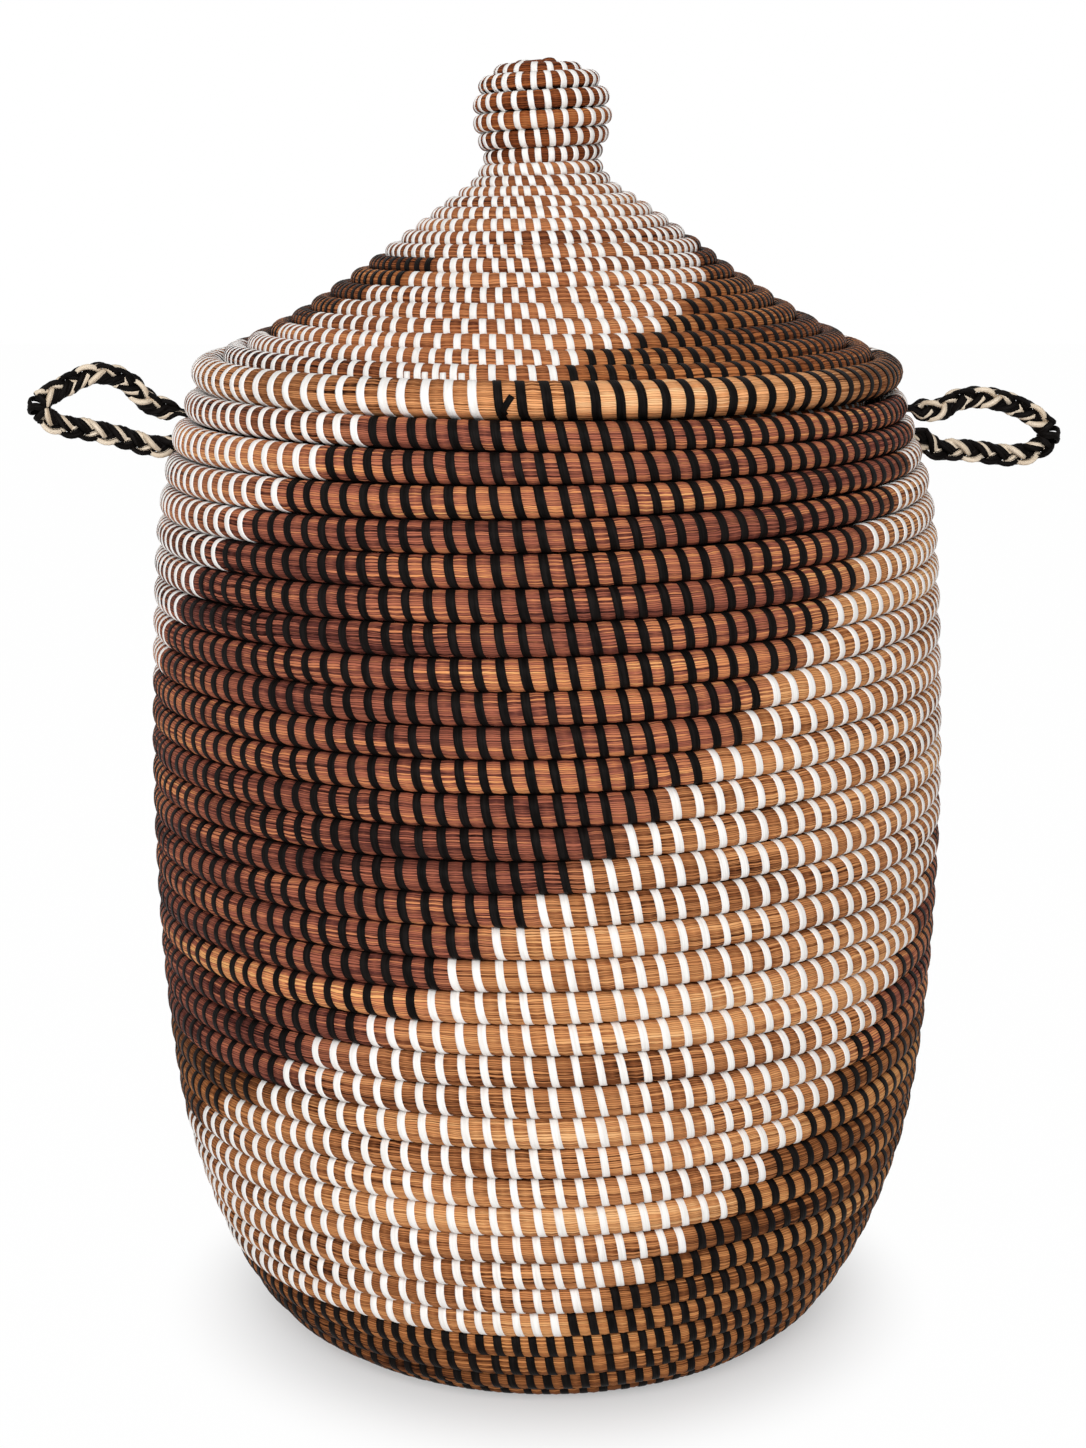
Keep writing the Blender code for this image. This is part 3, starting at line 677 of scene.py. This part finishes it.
# how hard the straws are pressed at a stitch and at each quarter of the way to the next
PRESSED = [1.0, 0.8, 0.0, 0.8]
# stitches count as round about within these metres, on the turn before, the same and the next
ROUND_ABOUT = 0.019
TURN_WEIGHTS = ((-1, 0.25), (0, 0.5), (1, 0.25))
# cosine of the angle at which the painted shade of a joint begins, and how much further in it is
# full
JOINT_SHADE_BEGINS, JOINT_SHADE_FULL = 0.40, 0.36
# metres by which the map moves on with every turn, so that no two stretches begin alike
MAP_SHIFT = 1.3


def whiteness(coil, rings, stitches, black):
    """Share of white stitches round about each ring, on its own turn and the two beside it."""
    counted = np.concatenate([[0.0], np.cumsum(~black)])
    share = 0.0
    reach = ROUND_ABOUT / (TURN * coil.frame(rings)[4])
    own = np.searchsorted(stitches, rings)
    for turn, weight in TURN_WEIGHTS:
        low, high = (np.searchsorted(stitches, rings + turn + sign * reach) for sign in (-1, 1))
        low, high = (np.where(high > low, q, np.clip(own + d, 0, len(stitches)))
                     for q, d in ((low, -1), (high, 1)))
        share = share + weight * (counted[high] - counted[low]) / np.maximum(high - low, 1)
    return share


def wind_bundle(sweeps, coil, stitches, black, first, last, lean, dents=(), joints=(1, 1),
                pale=None):
    """The grass bundle from turn first to turn last, pinched at its stitches. The flags after the
    dents are 1 where it is sewn to another turn, on its edgeward side and on the other, and there
    the grass in the groove gets painted shade. pale, if given, is the share of pale grass at a few
    places, in degrees from the front."""
    inner = stitches[(stitches > first) & (stitches < last)]
    knots = np.concatenate([[first], inner, [last]])
    rings, press = [], []
    for start, end in zip(knots, knots[1:]):
        quarter = 0.25 * (end - start)
        rings += [start, start + quarter, (start + end) / 2, end - quarter]
        press += PRESSED
    rings, press = np.array(rings + [last]), np.array(press + [1.0])
    angles = RING_ANGLES
    radii = coil.frame(rings)[4]
    t = (math.pi / 2 - angles) / math.pi
    outside = 0.5 - STEADY_LEAN * t - GROWING_LEAN * t * t
    bend = np.where(t <= 1, outside, -0.5 + (t - 1)) * lean
    v = rings[:, None] + bend[None] / (TURN * radii[:, None])
    centre, outward, edgeward, radius, _ = coil.frame(v)
    front = outside_share(angles)
    swell = SWELL - press * (SWELL + PINCH)
    around = (radius * plump(angles) + swell[:, None] * front - (1 - front) * INSIDE_SUNK
              - dent(coil, v, dents))
    lumps = np.cumsum(chance.normal(0, 0.3, len(rings)))[:, None]
    around = around + LUMP * np.sin(lumps + 3 * angles[None])
    facing = np.cos(angles)[None, :, None] * outward + np.sin(angles)[None, :, None] * edgeward
    points = centre + around[..., None] * facing
    middle = coil.frame(rings)[0]
    along = np.concatenate([[0.0], np.cumsum(np.linalg.norm(np.diff(middle, axis=0), axis=1))])
    turn_by = (angles[0] - np.append(angles, angles[0] - TURN)) * float(np.median(radius))
    carried = np.ones((len(rings), len(angles), 4))
    carried[..., 0] = press[:, None]
    if pale:
        share = np.interp(np.degrees(coil.hand * TURN * rings) % 360, *np.array(pale).T)
    else:
        share = whiteness(coil, rings, stitches, black)
    carried[..., 1] = share[:, None]
    # blue: painted shade in the grooves between turns, on the sides sewn to another turn
    carried[..., 2] = (np.clip((JOINT_SHADE_BEGINS - np.cos(angles)) / JOINT_SHADE_FULL, 0.0, 1.0)
                       * np.where(np.sin(angles) > 0, *joints))
    sweeps.add(points[None], (along + first * MAP_SHIFT)[None], turn_by, carried)


# %% Stitches
STRIP_THICKNESS = 0.38 * MM
# place across half the width and height above the bundle, both as shares
STRIP_PROFILE = np.array([
    (-1.0, -0.5), (-0.97, 0.62), (-0.62, 1.0), (0.62, 1.0), (0.97, 0.62), (1.0, -0.5)])
LEAN_SPREAD = 0.35 * MM
WIDTH_SPREAD, WIDTH_LIMITS = 0.04, (0.88, 1.12)
# metres over which the maps of the strips are spread, so that no two are scuffed alike
MAP_SPREAD = 40


def wrap_paths(coil, stitches, spacing, lean, angles=WRAP_ANGLES, dents=()):
    """Middle lines of the wraps and the way each faces. lean may differ from wrap to wrap."""
    lean = np.broadcast_to(np.asarray(lean, float), stitches.shape)[:, None]
    radii = coil.frame(stitches)[4]
    v = stitches[:, None] + lean_offset(angles[None], lean, spacing) / (TURN * radii[:, None])
    centre, outward, edgeward, radius, _ = coil.frame(v)
    front = outside_share(angles)
    hug = (radius * plump(angles) - PINCH * front - (1 - front) * INSIDE_SUNK
           - dent(coil, v, dents))
    facing = np.cos(angles)[None, :, None] * outward + np.sin(angles)[None, :, None] * edgeward
    return centre + hug[..., None] * facing, facing


def lay_strips(sweeps, middle, facing, width, thickness=STRIP_THICKNESS):
    """Flat strips along lines of points; facing is away from what they lie on."""
    along = np.gradient(middle, axis=1)
    sideways = unit(np.cross(along, facing))
    facing = unit(np.cross(sideways, along))
    width = np.broadcast_to(np.asarray(width, float), middle.shape[:2])
    across, above = STRIP_PROFILE[:, 0], STRIP_PROFILE[:, 1] * thickness
    aside = (across[None, None] * width[..., None] / 2)[..., None]
    points = (middle[:, :, None] + sideways[:, :, None] * aside
              + facing[:, :, None] * above[None, None, :, None])
    lengths = np.linalg.norm(np.diff(middle, axis=1), axis=2)
    reach = np.concatenate([np.zeros((len(middle), 1)), np.cumsum(lengths, axis=1)], axis=1)
    reach = reach + chance.uniform(0, MAP_SPREAD, (len(middle), 1))
    edges = np.append(across, across[0]) * float(width.mean()) / 2
    sweeps.add(points, reach, edges)


def sew(coil, stitches, spacing, lean, width, dents=()):
    """Sweeps with one wrap at each stitch. No two wraps are quite alike."""
    sweeps = Sweeps()
    if len(stitches):
        leans = lean + chance.normal(0.0, LEAN_SPREAD, len(stitches))
        widths = width * chance.normal(1.0, WIDTH_SPREAD, (len(stitches), 1)).clip(*WIDTH_LIMITS)
        lay_strips(sweeps, *wrap_paths(coil, stitches, spacing, leans, dents=dents), widths)
    return sweeps


def make_coil(node, body, coil, stitches, black, span, lean, wrap, widths, finish, slot,
              kept=True, dents=(), extras=None, **shades):
    """The pieces of one coil over a span of turns: the bundle, which stands for a node of the
    solid model, and its stitches by colour. kept marks the stitches to make, and extras gives
    functions that add to the bundle or to the stitches of one colour."""
    extras = extras or {}
    bundle = Sweeps()
    wind_bundle(bundle, coil, stitches, black, *span, lean, dents, **shades)
    if "bundle" in extras:
        extras["bundle"](bundle)
    bundle.piece(node.replace("coil", "bundle"), body, grass[finish], slot, [node])
    here = (stitches >= span[0]) & (stitches < span[1]) & kept
    for name, chosen in (("white", here & ~black), ("black", here & black)):
        if chosen.any():
            wraps = sew(coil, stitches[chosen], wrap, lean, widths[name], dents)
            if name in extras:
                extras[name](wraps)
            wraps.piece(node.replace("coil", f"{name}_stitches"), body, strip[name],
                        f"{name}_strip")


# %% [markdown]
# The swirl is a matter of counting: at every turn the maker changes strip about two stitches
# sooner than on the turn above, so the edge of a colour drifts round the basket as it goes down.
# Each edge is given by a few places (turn, degrees from the front towards the right); between
# them the drift is steady. Below the last white stitch the body is all black.

# %% The two swirls
BODY_EDGES = [
    # white to black, black to white, white to black, black to white
    [(0.1, -27.5), (5.2, -56), (8.2, -72), (30.0, -216)],
    [(0.0, 80), (1.0, 74), (2.0, 66), (3.0, 57), (4.0, 50), (7.1, 35), (13.0, 4), (17.2, -18.5),
     (19.5, -36), (21.2, -46), (23.0, -62), (26.0, -92), (30.0, -122)],
    [(0.0, 160), (13.8, 81), (19.1, 51.5), (22.9, 34), (28.0, 2), (30.0, -12)],
    [(0.0, 252), (13.8, 170), (28.0, 97), (30.0, 84)],
]
BODY_ALL_BLACK = 28.6
LID_EDGES = [
    # white to black at the right of the front, and the other three of the same swirl
    [(0.0, 2), (1.0, 6), (4.0, 31), (5.0, 43), (7.0, 61), (8.5, 76)],
    [(0.0, 96), (4.0, 122), (8.5, 160)],
    [(0.0, 184), (4.0, 212), (8.5, 256)],
    [(0.0, 266), (2.0, 288), (4.0, 300), (5.0, 304), (7.0, 323), (8.5, 334)],
]
# turn from which the lid is all white up to its knob, but for the few stitches between two others
LID_ALL_WHITE = 7.45
LID_BLACK_TAIL = (8.2, 8.4)


def is_black(coil, stitches, edges):
    """True where a stitch lies between a white-to-black edge and the next black-to-white one."""
    degrees = np.degrees(coil.hand * TURN * stitches)
    places = np.array([np.interp(stitches, *np.array(edge).T) for edge in edges])
    past = np.array([(degrees - place) % 360 for place in places])
    # the edge passed last, going right, is the one at the smallest distance behind
    return np.argmin(past, axis=0) % 2 == 0


# %% Stitches of the body
MOUTH_STITCH, WALL_STITCH = 9.2 * MM, 9.55 * MM
BODY_FIRST_STITCH, BODY_LAST_STITCH = -0.45, body_coil.turns - 0.15


def body_spacing(v, radius):
    return WALL_STITCH if v > 0.5 else MOUTH_STITCH


body_stitches = stitch_turns(body_coil, BODY_FIRST_STITCH, BODY_LAST_STITCH, body_spacing,
                             drift=-0.03)
body_black = is_black(body_coil, body_stitches, BODY_EDGES) | (body_stitches > BODY_ALL_BLACK)
print(len(body_stitches), "stitches on the body,", int(body_black.sum()), "of them black")

# %% [markdown]
# The body is one long bundle, cut where the solid model's four stretches meet, so that each piece
# stands for one solid. Where a handle is threaded through, the maker leaves out the stitches in
# the way, and the handle's strands press the bundle in.

# %% The body
BODY_LEAN = 4.4 * MM
BODY_WRAP = 9.5 * MM
HANDLE_ROOM = 6.5 * MM
STRIP_WIDTHS = {"white": 3.75 * MM, "black": 4.25 * MM}
# turns at which the strands of the two handles pass beside the bundle
HANDLE_TURNS = [-0.25, 0.25, 0.75, 1.25, 1.75, 2.25]
BODY_STRETCHES = [
    # CAD node, first and last turn, grass and its slot
    ("wall_coil_upper", -0.60, 10.5, "upper", "dried_grass_red"),
    ("wall_coil_middle", 10.5, 20.5, "upper", "dried_grass_gold"),
    ("wall_coil_lower", 20.5, 30.5, "lower", "dried_grass_gold"),
    ("base_coil", 30.5, body_coil.turns - 0.02, "lower", "dried_grass_dark"),
]


def clear_of_handles(stitches):
    """False for the stitches left out where a handle's strands pass."""
    metres = TURN * body_coil.frame(stitches)[4]
    return np.min([np.abs(stitches - q) * metres for q in HANDLE_TURNS], axis=0) > HANDLE_ROOM


for node, first, last, finish, slot in BODY_STRETCHES:
    make_coil(node, "basket", body_coil, body_stitches, body_black, (first, last), BODY_LEAN,
              BODY_WRAP, STRIP_WIDTHS, finish, slot, clear_of_handles(body_stitches), HANDLE_TURNS)

# %% [markdown]
# The lid's cone and knob are one spiral, like the body, with a thinner bundle and closer stitches.
# On the knob the turns are so short that the stitches hardly lean. A few short ends of white strip
# are worked in low on the cone's first turn, and the knot from which the maker started stands in
# the middle of the knob.

# %% The coil of the lid
LID_LEAN, KNOB_LEAN = 3.4 * MM, 1.3 * MM
KNOB_FROM = SEAT + 0.0990
# millimetres from stitch to stitch on the knob, how many more on the cone, and the radius from
# which they grow and how far on they are full, in metres
KNOB_STITCH, CONE_GAIN = 6.6, 2.0
GAIN_FROM, GAIN_OVER = 0.03, 0.09
# the neck's height above the seat, the height over which the coil leans, and how far it goes
NECK_HEIGHT, LEAN_HEIGHT, KNOB_OFF_CENTRE = 0.060, 0.040, 2.4 * MM
LID_FIRST_STITCH, LID_LAST_GAP = -0.42, 0.2


def soft_step(share):
    """0 below 0 and 1 above 1, with a soft rise between."""
    t = np.clip(share, 0.0, 1.0)
    return t * t * (3 - 2 * t)


def lid_spacing(v, radius):
    return (KNOB_STITCH + CONE_GAIN * min(max((radius - GAIN_FROM) / GAIN_OVER, 0.0), 1.0)) * MM


class LeaningCoil(Coil):
    """The lid's coil: like most made by hand, its knob sits a little off centre."""

    def frame(self, v):
        centre, outward, edgeward, radius, from_axis = super().frame(v)
        above = (centre[..., 2] - SEAT - NECK_HEIGHT) / LEAN_HEIGHT
        centre[..., 0] -= KNOB_OFF_CENTRE * soft_step(above)
        return centre, outward, edgeward, radius, from_axis


lid_coil = LeaningCoil([(r, SEAT + h) for r, h in LID_SECTION], LID_BUNDLE, 1, -1, LID_LEVELLING)
rising = lid_coil.steps[:int(lid_coil.turns) * STEPS_PER_TURN]
knob_turn = float(np.interp(KNOB_FROM, lid_coil.frame(rising)[0][:, 2], rising))
lid_stitches = stitch_turns(lid_coil, LID_FIRST_STITCH, lid_coil.turns - LID_LAST_GAP, lid_spacing,
                            pull=0.35)
lid_black = is_black(lid_coil, lid_stitches, LID_EDGES)
lid_black &= ((lid_stitches < LID_ALL_WHITE)
              | (lid_stitches > LID_BLACK_TAIL[0]) & (lid_stitches < LID_BLACK_TAIL[1]))
print("turns of the lid", round(lid_coil.turns, 1), "with", len(lid_stitches), "stitches")

# %% The cone and the knob
LID_WRAP = 8.0 * MM
LID_WIDTHS = {"white": 3.35 * MM, "black": 3.7 * MM}
KNOB_WIDTH_SHARE = 0.92
# the knot's middle across and forward, its half sizes, how deep it sits, and how much it tilts
KNOT_PLACE, KNOT_HALF_SIZES = (0.4 * MM, -2.0 * MM), (4.2 * MM, 3.0 * MM, 2.4 * MM)
KNOT_SUNK, KNOT_TILT = 1.6 * MM, 0.5 * MM
# degrees from the front between which ends are tucked in, the degrees round the bundle at which
# each shows, and their lean, width and thickness
TUCKED_ENDS, TUCKED_SHOWS = (-27.0, -11.5), (35, 120)
TUCKED_LEAN, TUCKED_WIDTH, TUCKED_THICKNESS = 2 * MM, 2.9 * MM, 1.3 * MM


def start_of_coil(sweeps):
    """The knot of straws at the middle of the knob, from which the winding starts."""
    x = np.linspace(-1.0, 1.0, 9)[:, None]
    size = np.sqrt(1.02 - x * x)
    angles = RING_ANGLES[None]
    top = SEAT + LID_SECTION[-1][1] + LID_BUNDLE[-1][1] / 2
    (across, forward), (long, wide, high) = KNOT_PLACE, KNOT_HALF_SIZES
    points = np.stack([across + long * x + 0 * angles,
                       forward + wide * size * np.cos(angles),
                       top - KNOT_SUNK + high * size * np.sin(angles) + KNOT_TILT * x], axis=-1)
    around = np.append(RING_ANGLES, RING_ANGLES[0] - TURN) * wide
    sweeps.add(points[None], x.T * 4 * MM, around, np.zeros((len(x), len(RING_ANGLES), 4)))


def short_wrap(shows):
    """The angles of a wrap between two angles in degrees."""
    low, high = np.radians(shows)
    return WRAP_ANGLES[(WRAP_ANGLES > low) & (WRAP_ANGLES < high)]


def tuck_ends(sweeps):
    """Short ends of white strip, worked in low on the lid's first turn between its stitches."""
    degrees = 360 * lid_stitches
    near = lid_stitches[(degrees > TUCKED_ENDS[0]) & (degrees < TUCKED_ENDS[1])]
    ends = wrap_paths(lid_coil, (near[1:] + near[:-1]) / 2, LID_WRAP, TUCKED_LEAN,
                      short_wrap(TUCKED_SHOWS))
    lay_strips(sweeps, *ends, TUCKED_WIDTH, TUCKED_THICKNESS)


make_coil("lid_cone_coil", "lid", lid_coil, lid_stitches, lid_black, (-0.6, knob_turn), LID_LEAN,
          LID_WRAP, LID_WIDTHS, "lid", "dried_grass_gold", extras={"white": tuck_ends})
make_coil("lid_knob_coil", "lid", lid_coil, lid_stitches, lid_black,
          (knob_turn, lid_coil.turns - 0.02), KNOB_LEAN, LID_WRAP,
          {name: width * KNOB_WIDTH_SHARE for name, width in LID_WIDTHS.items()}, "knob",
          "dried_grass_gold", extras={"bundle": start_of_coil})

# %% [markdown]
# The lid is finished with one thick coil, a closed ring. It gets a small class that answers the
# same question as the spiral does: where the bundle is at a given turn. Where the strip changes
# to black at the front, the end of the old strip crosses the rim slantwise under the new stitches.

# %% The rim of the lid
class Ring:
    """A closed round coil. inward is the section direction towards the turn it is sewn to."""

    def __init__(self, radius, height, bundle, inward):
        self.radius, self.height, self.bundle = radius, height, bundle
        self.inward, self.hand = unit(np.array(inward, float)), 1

    def frame(self, v):
        ahead, up = axes_at(TURN * v)
        d, same = self.inward, 0 * v
        centre = self.radius * ahead + self.height * up
        outward = d[1] * ahead - d[0] * up
        edgeward = -(d[0] * ahead + d[1] * up)
        return centre, outward, edgeward, same + self.bundle / 2, same + self.radius


rim_coil = Ring(LID_RIM_RADIUS, SEAT, LID_RIM_BUNDLE, (-0.84, 0.54))
RIM_STITCHES, RIM_PHASE, RIM_UNEVEN = 103, 0.80, 0.05
RIM_LEAN, RIM_WRAP = 4.2 * MM, 9.8 * MM
RIM_WIDTHS = {"white": 4.1 * MM, "black": 4.4 * MM}
# degrees from the front: black from and to, and black again at the back below the third
RIM_BLACK_FROM, RIM_BLACK_TO, RIM_BLACK_BACK = -9.5, 96.0, -169.5
# share of pale grass at a few degrees from the front
RIM_PALE = [(0, 1.0), (34, 1.0), (62, 0.1), (110, 0.0), (150, 1.0), (360, 1.0)]
# the end that crosses: degrees from the front, degrees round the bundle at which it shows, lean
CROSSING_END, CROSSING_SHOWS, CROSSING_LEAN = -2.8, (30, 100), -22 * MM
CROSSING_WIDTH, CROSSING_THICKNESS = 3.0 * MM, 0.9 * MM


def cross_rim(sweeps):
    """The end of the white strip, slantwise under the first black stitches."""
    lay_strips(sweeps, *wrap_paths(rim_coil, np.array([CROSSING_END / 360]), RIM_WRAP,
                                   CROSSING_LEAN, short_wrap(CROSSING_SHOWS)),
               CROSSING_WIDTH, CROSSING_THICKNESS)


rim_uneven = chance.normal(0, RIM_UNEVEN, RIM_STITCHES)
rim_stitches = (np.arange(RIM_STITCHES) + RIM_PHASE + rim_uneven) / RIM_STITCHES
degrees = (np.degrees(TURN * rim_stitches) + 180) % 360 - 180
rim_black = ((degrees > RIM_BLACK_FROM) & (degrees < RIM_BLACK_TO)) | (degrees < RIM_BLACK_BACK)
# the rim is sewn to the lid on one side only, so only that side gets the painted shade of a groove
make_coil("lid_rim_coil", "lid", rim_coil, rim_stitches, rim_black,
          (float(rim_stitches[0]), float(rim_stitches[0]) + 1.0), RIM_LEAN, RIM_WRAP, RIM_WIDTHS,
          "rim", "dried_grass_gold", extras={"black": cross_rim}, joints=(0, 1), pale=RIM_PALE)

# %% [markdown]
# Under the rim hangs a short coil that drops into the mouth and keeps the lid in its place. Both
# of its ends are thinned away against the turn beside them, so that nothing catches as the lid
# goes on.

# %% The coil under the lid
LOCATING_RADIUS, LOCATING_BUNDLE = 0.1545, 0.0105
LOCATING_TURNS, LOCATING_FROM, LOCATING_FIRST_STITCH = 2.0, -0.55, -0.4
LOCATING_STITCH, LOCATING_LEAN, LOCATING_WIDTH = 9.0 * MM, 2 * MM, 3.2 * MM
# share of a turn over which the lower end is thinned
SCARF = 0.4


class ScarfedCoil(Coil):
    """A coil whose lower end is thinned away against the turn before."""

    def frame(self, v):
        centre, outward, edgeward, radius, from_axis = super().frame(v)
        left = np.clip((LOCATING_TURNS - v) / SCARF, THINNEST, 1.0)
        centre = centre + (radius * (1 - left))[..., None] * edgeward
        return centre, outward, edgeward, radius * left, from_axis


locating_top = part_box("lid_locating_coil")[1][2] - LOCATING_BUNDLE / 2
locating_coil = ScarfedCoil(
    [(LOCATING_RADIUS, locating_top), (LOCATING_RADIUS, locating_top - 0.04)],
    [(0, LOCATING_BUNDLE), (MOST_TURNS, LOCATING_BUNDLE)], -1, 1, [(0.0, 0.25), (2.0, 0.0)])


def make_locating_coil():
    stitches = stitch_turns(locating_coil, LOCATING_FIRST_STITCH, LOCATING_TURNS,
                            lambda v, radius: LOCATING_STITCH)
    none_black = np.zeros(len(stitches), bool)
    bundle = Sweeps()
    wind_bundle(bundle, locating_coil, stitches, none_black, LOCATING_FROM, LOCATING_TURNS,
                LOCATING_LEAN)
    bundle.piece("lid_locating_bundle", "lid", grass["lid"], "dried_grass_gold",
                 ["lid_locating_coil"])
    wraps = sew(locating_coil, stitches, LOCATING_STITCH, LOCATING_LEAN, LOCATING_WIDTH)
    wraps.piece("lid_locating_stitches", "lid", strip["white"], "white_strip")


make_locating_coil()

# %% [markdown]
# Each handle is a plait of three strands, threaded round the second coil from the top. In a plait
# of three, each strand weaves from edge to edge: its place across is the cosine of an angle and
# its depth the sine of twice that angle, and the strands follow each other a third of a turn
# apart. A strand is three flat strips side by side, one of them cream. The two limbs show opposite
# faces of the plait, because it takes half a twist on its way through the wall.

# %% The route of a handle
SLIT_OUTER, SLIT_INNER = 5.0 * MM, 8.2 * MM
INNER_BIGHT, BIGHT_HALF_HEIGHT = 12.0 * MM, 4.5 * MM
# side, and the route of the loop from the upper slit to the lower: outward and up from the coil
HANDLES = {
    "left": (-1, [
        (0.0200, 0.0142), (0.0340, 0.0266), (0.0480, 0.0296), (0.0620, 0.0240), (0.0772, 0.0134),
        (0.0690, 0.0050), (0.0530, 0.0018), (0.0360, -0.0020), (0.0200, -0.0066)]),
    "right": (1, [
        (0.0200, 0.0066), (0.0280, 0.0112), (0.0390, 0.0130), (0.0530, 0.0108), (0.0680, 0.0036),
        (0.0762, -0.0056), (0.0680, -0.0138), (0.0550, -0.0158), (0.0400, -0.0140),
        (0.0280, -0.0130), (0.0200, -0.0130)]),
}


def squared(first, second):
    """Outward through the slit between two coils, square to the line joining them."""
    line = unit(first - second)
    return np.array([line[1], -line[0]]) * (1 if line[1] > 0 else -1)


def handle_route(side, loop):
    """The loop's middle line, out from the axis and up, with the coil that it is threaded round."""
    turn = 1 - 0.25 * side
    c, up, down = (np.abs(body_coil.frame(np.array(v))[0][[0, 2]])
                   for v in (turn, turn - 1, turn + 1))
    slit_up, slit_down = (c + up) / 2, (c + down) / 2
    out_up, out_down = squared(up, c), squared(c, down)
    behind, rise = -INNER_BIGHT * squared(up, down), unit(up - down)
    loop = [c + q for q in np.array(loop)]
    tip = int(np.argmax([q[0] for q in loop]))
    inner = [slit_up + SLIT_OUTER * out_up, slit_up, slit_up - SLIT_INNER * out_up,
             c + behind + BIGHT_HALF_HEIGHT * rise, c + behind - BIGHT_HALF_HEIGHT * rise,
             slit_down - SLIT_INNER * out_down, slit_down, slit_down + SLIT_OUTER * out_down]
    ring = [*loop[:tip][::-1], *inner, *loop[tip + 1:][::-1]]
    line = SmoothLine([ring[-1], loop[tip], *ring, loop[tip], ring[0]])
    return line, c, line.lengths[line.samples], line.lengths[-line.samples - 1]


def swing_out(line, far, side):
    """Places on the route in the row frame, with the directions along and across it."""
    flat, along = line.at(far), line.direction(far, 1 * MM)
    nought = 0 * far
    return (np.stack([side * flat[:, 0], nought, flat[:, 1]], -1),
            np.stack([side * along[:, 0], nought, along[:, 1]], -1),
            np.stack([-side * along[:, 1], nought, along[:, 0]], -1))


# %% The plait
PLAIT_HALF_WIDTH, PLAIT_HALF_DEPTH, PLAIT_PERIOD = 3.6 * MM, 1.8 * MM, 27.5 * MM
STRANDS = (("black", "black", "cream"), ("cream", "black", "black"), ("black", "cream", "black"))
STRIP_STEP, STRIP_WIDTH, STRIP_HEIGHT = 2.05 * MM, 2.6 * MM, 1.4 * MM
# out from the coil, the strands lie side by side up to the first place and weave from the second
PLAIT_FROM, PLAIT_TO = 5.5 * MM, 12.0 * MM
SIDE_BY_SIDE, GATHERED, NARROWED = 2.1 * MM, 0.3, 0.42
ROUTE_STEP, TIP_GAP = 1.0 * MM, 3.5 * MM
FRONT = np.array([0.0, -1.0, 0.0])
# the tie over the ends of the plait: turns and points of its strip, how far along the plait it
# wanders and how often, its half sizes, how much they grow and how much they shrink off the tip
TIE_TURNS, TIE_POINTS = 9.0, 260
TIE_WANDER, TIE_WAVES, TIE_PHASE = 5.2 * MM, 0.17, 0.6
TIE_HALF_WIDTH, TIE_HALF_DEPTH, TIE_GROWTH, TIE_SHRINK = 4.4 * MM, 3.9 * MM, 0.7 * MM, 24.0
TIE_WIDTH, TIE_HEIGHT = 2.6 * MM, 0.9 * MM


def make_handle(label):
    side, loop = HANDLES[label]
    line, c, first, last = handle_route(side, loop)
    far = np.arange(first + TIP_GAP, last - TIP_GAP, ROUTE_STEP)
    out = line.at(far)[:, 0] - c[0]
    weave = soft_step((out - PLAIT_FROM) / (PLAIT_TO - PLAIT_FROM))
    inside = far[out < PLAIT_TO]
    travelled = np.minimum(far - inside[0], 0.0) + np.maximum(far - inside[-1], 0.0)
    face = np.where(far < (first + last) / 2, -side, side)
    place, along, across = swing_out(line, far, side)
    laid = {"black": [], "cream": []}
    for k, strips in enumerate(STRANDS):
        angle = math.pi / 2 + TURN * (travelled / PLAIT_PERIOD + k / 3)
        facing = np.cos(angle)[:, None] * across + (np.sin(angle) * face)[:, None] * FRONT
        middle = (place + (weave * PLAIT_HALF_WIDTH * np.cos(angle))[:, None] * across
                  + (weave * PLAIT_HALF_DEPTH * np.sin(2 * angle) * face)[:, None] * FRONT)
        middle[:, 1] += (1 - weave) * (0, 1, -1)[k] * SIDE_BY_SIDE
        sideways = unit(np.cross(np.gradient(middle, axis=0), facing))
        for j, name in enumerate(strips):
            step = (j - 1) * STRIP_STEP * (GATHERED + (1 - GATHERED) * weave)
            laid[name].append((middle + step[:, None] * sideways, facing))
    nodes = {"black": ["strand_1", "strand_3", "binding"], "cream": ["strand_2"]}
    for name, strips in laid.items():
        sweeps = Sweeps()
        middles, facings = (np.array(q) for q in zip(*strips))
        widths = STRIP_WIDTH * (NARROWED + (1 - NARROWED) * weave)[None] * np.ones((len(strips), 1))
        lay_strips(sweeps, middles, facings, widths, STRIP_HEIGHT)
        if name == "black":
            tie_tip(sweeps, line, first, last, side)
        sweeps.piece(f"handle_{label}_{name}_strips", f"handle_{label}", strip[name],
                     f"{name}_strip", [f"handle_{label}_{node}" for node in nodes[name]])


def tie_tip(sweeps, line, first, last, side):
    """Wraps of black strip over the place where the two ends of the plait meet."""
    turn = np.linspace(0.0, TIE_TURNS, TIE_POINTS)
    shift = TIE_WANDER * np.sin(TURN * turn * TIE_WAVES + TIE_PHASE)
    far = np.where(shift > 0, first + shift, last + shift)
    place, along, across = swing_out(line, far, side)
    sideways, forward = (q(TURN * turn)[:, None] for q in (np.cos, np.sin))
    grown = (TIE_GROWTH * turn / TIE_TURNS - TIE_SHRINK * shift ** 2)[:, None]
    middle = place + ((TIE_HALF_WIDTH + grown) * sideways * across
                      + (TIE_HALF_DEPTH + grown) * forward * FRONT)
    out = sideways * across + forward * FRONT
    lay_strips(sweeps, middle[None], out[None], TIE_WIDTH, TIE_HEIGHT)


for label in HANDLES:
    make_handle(label)
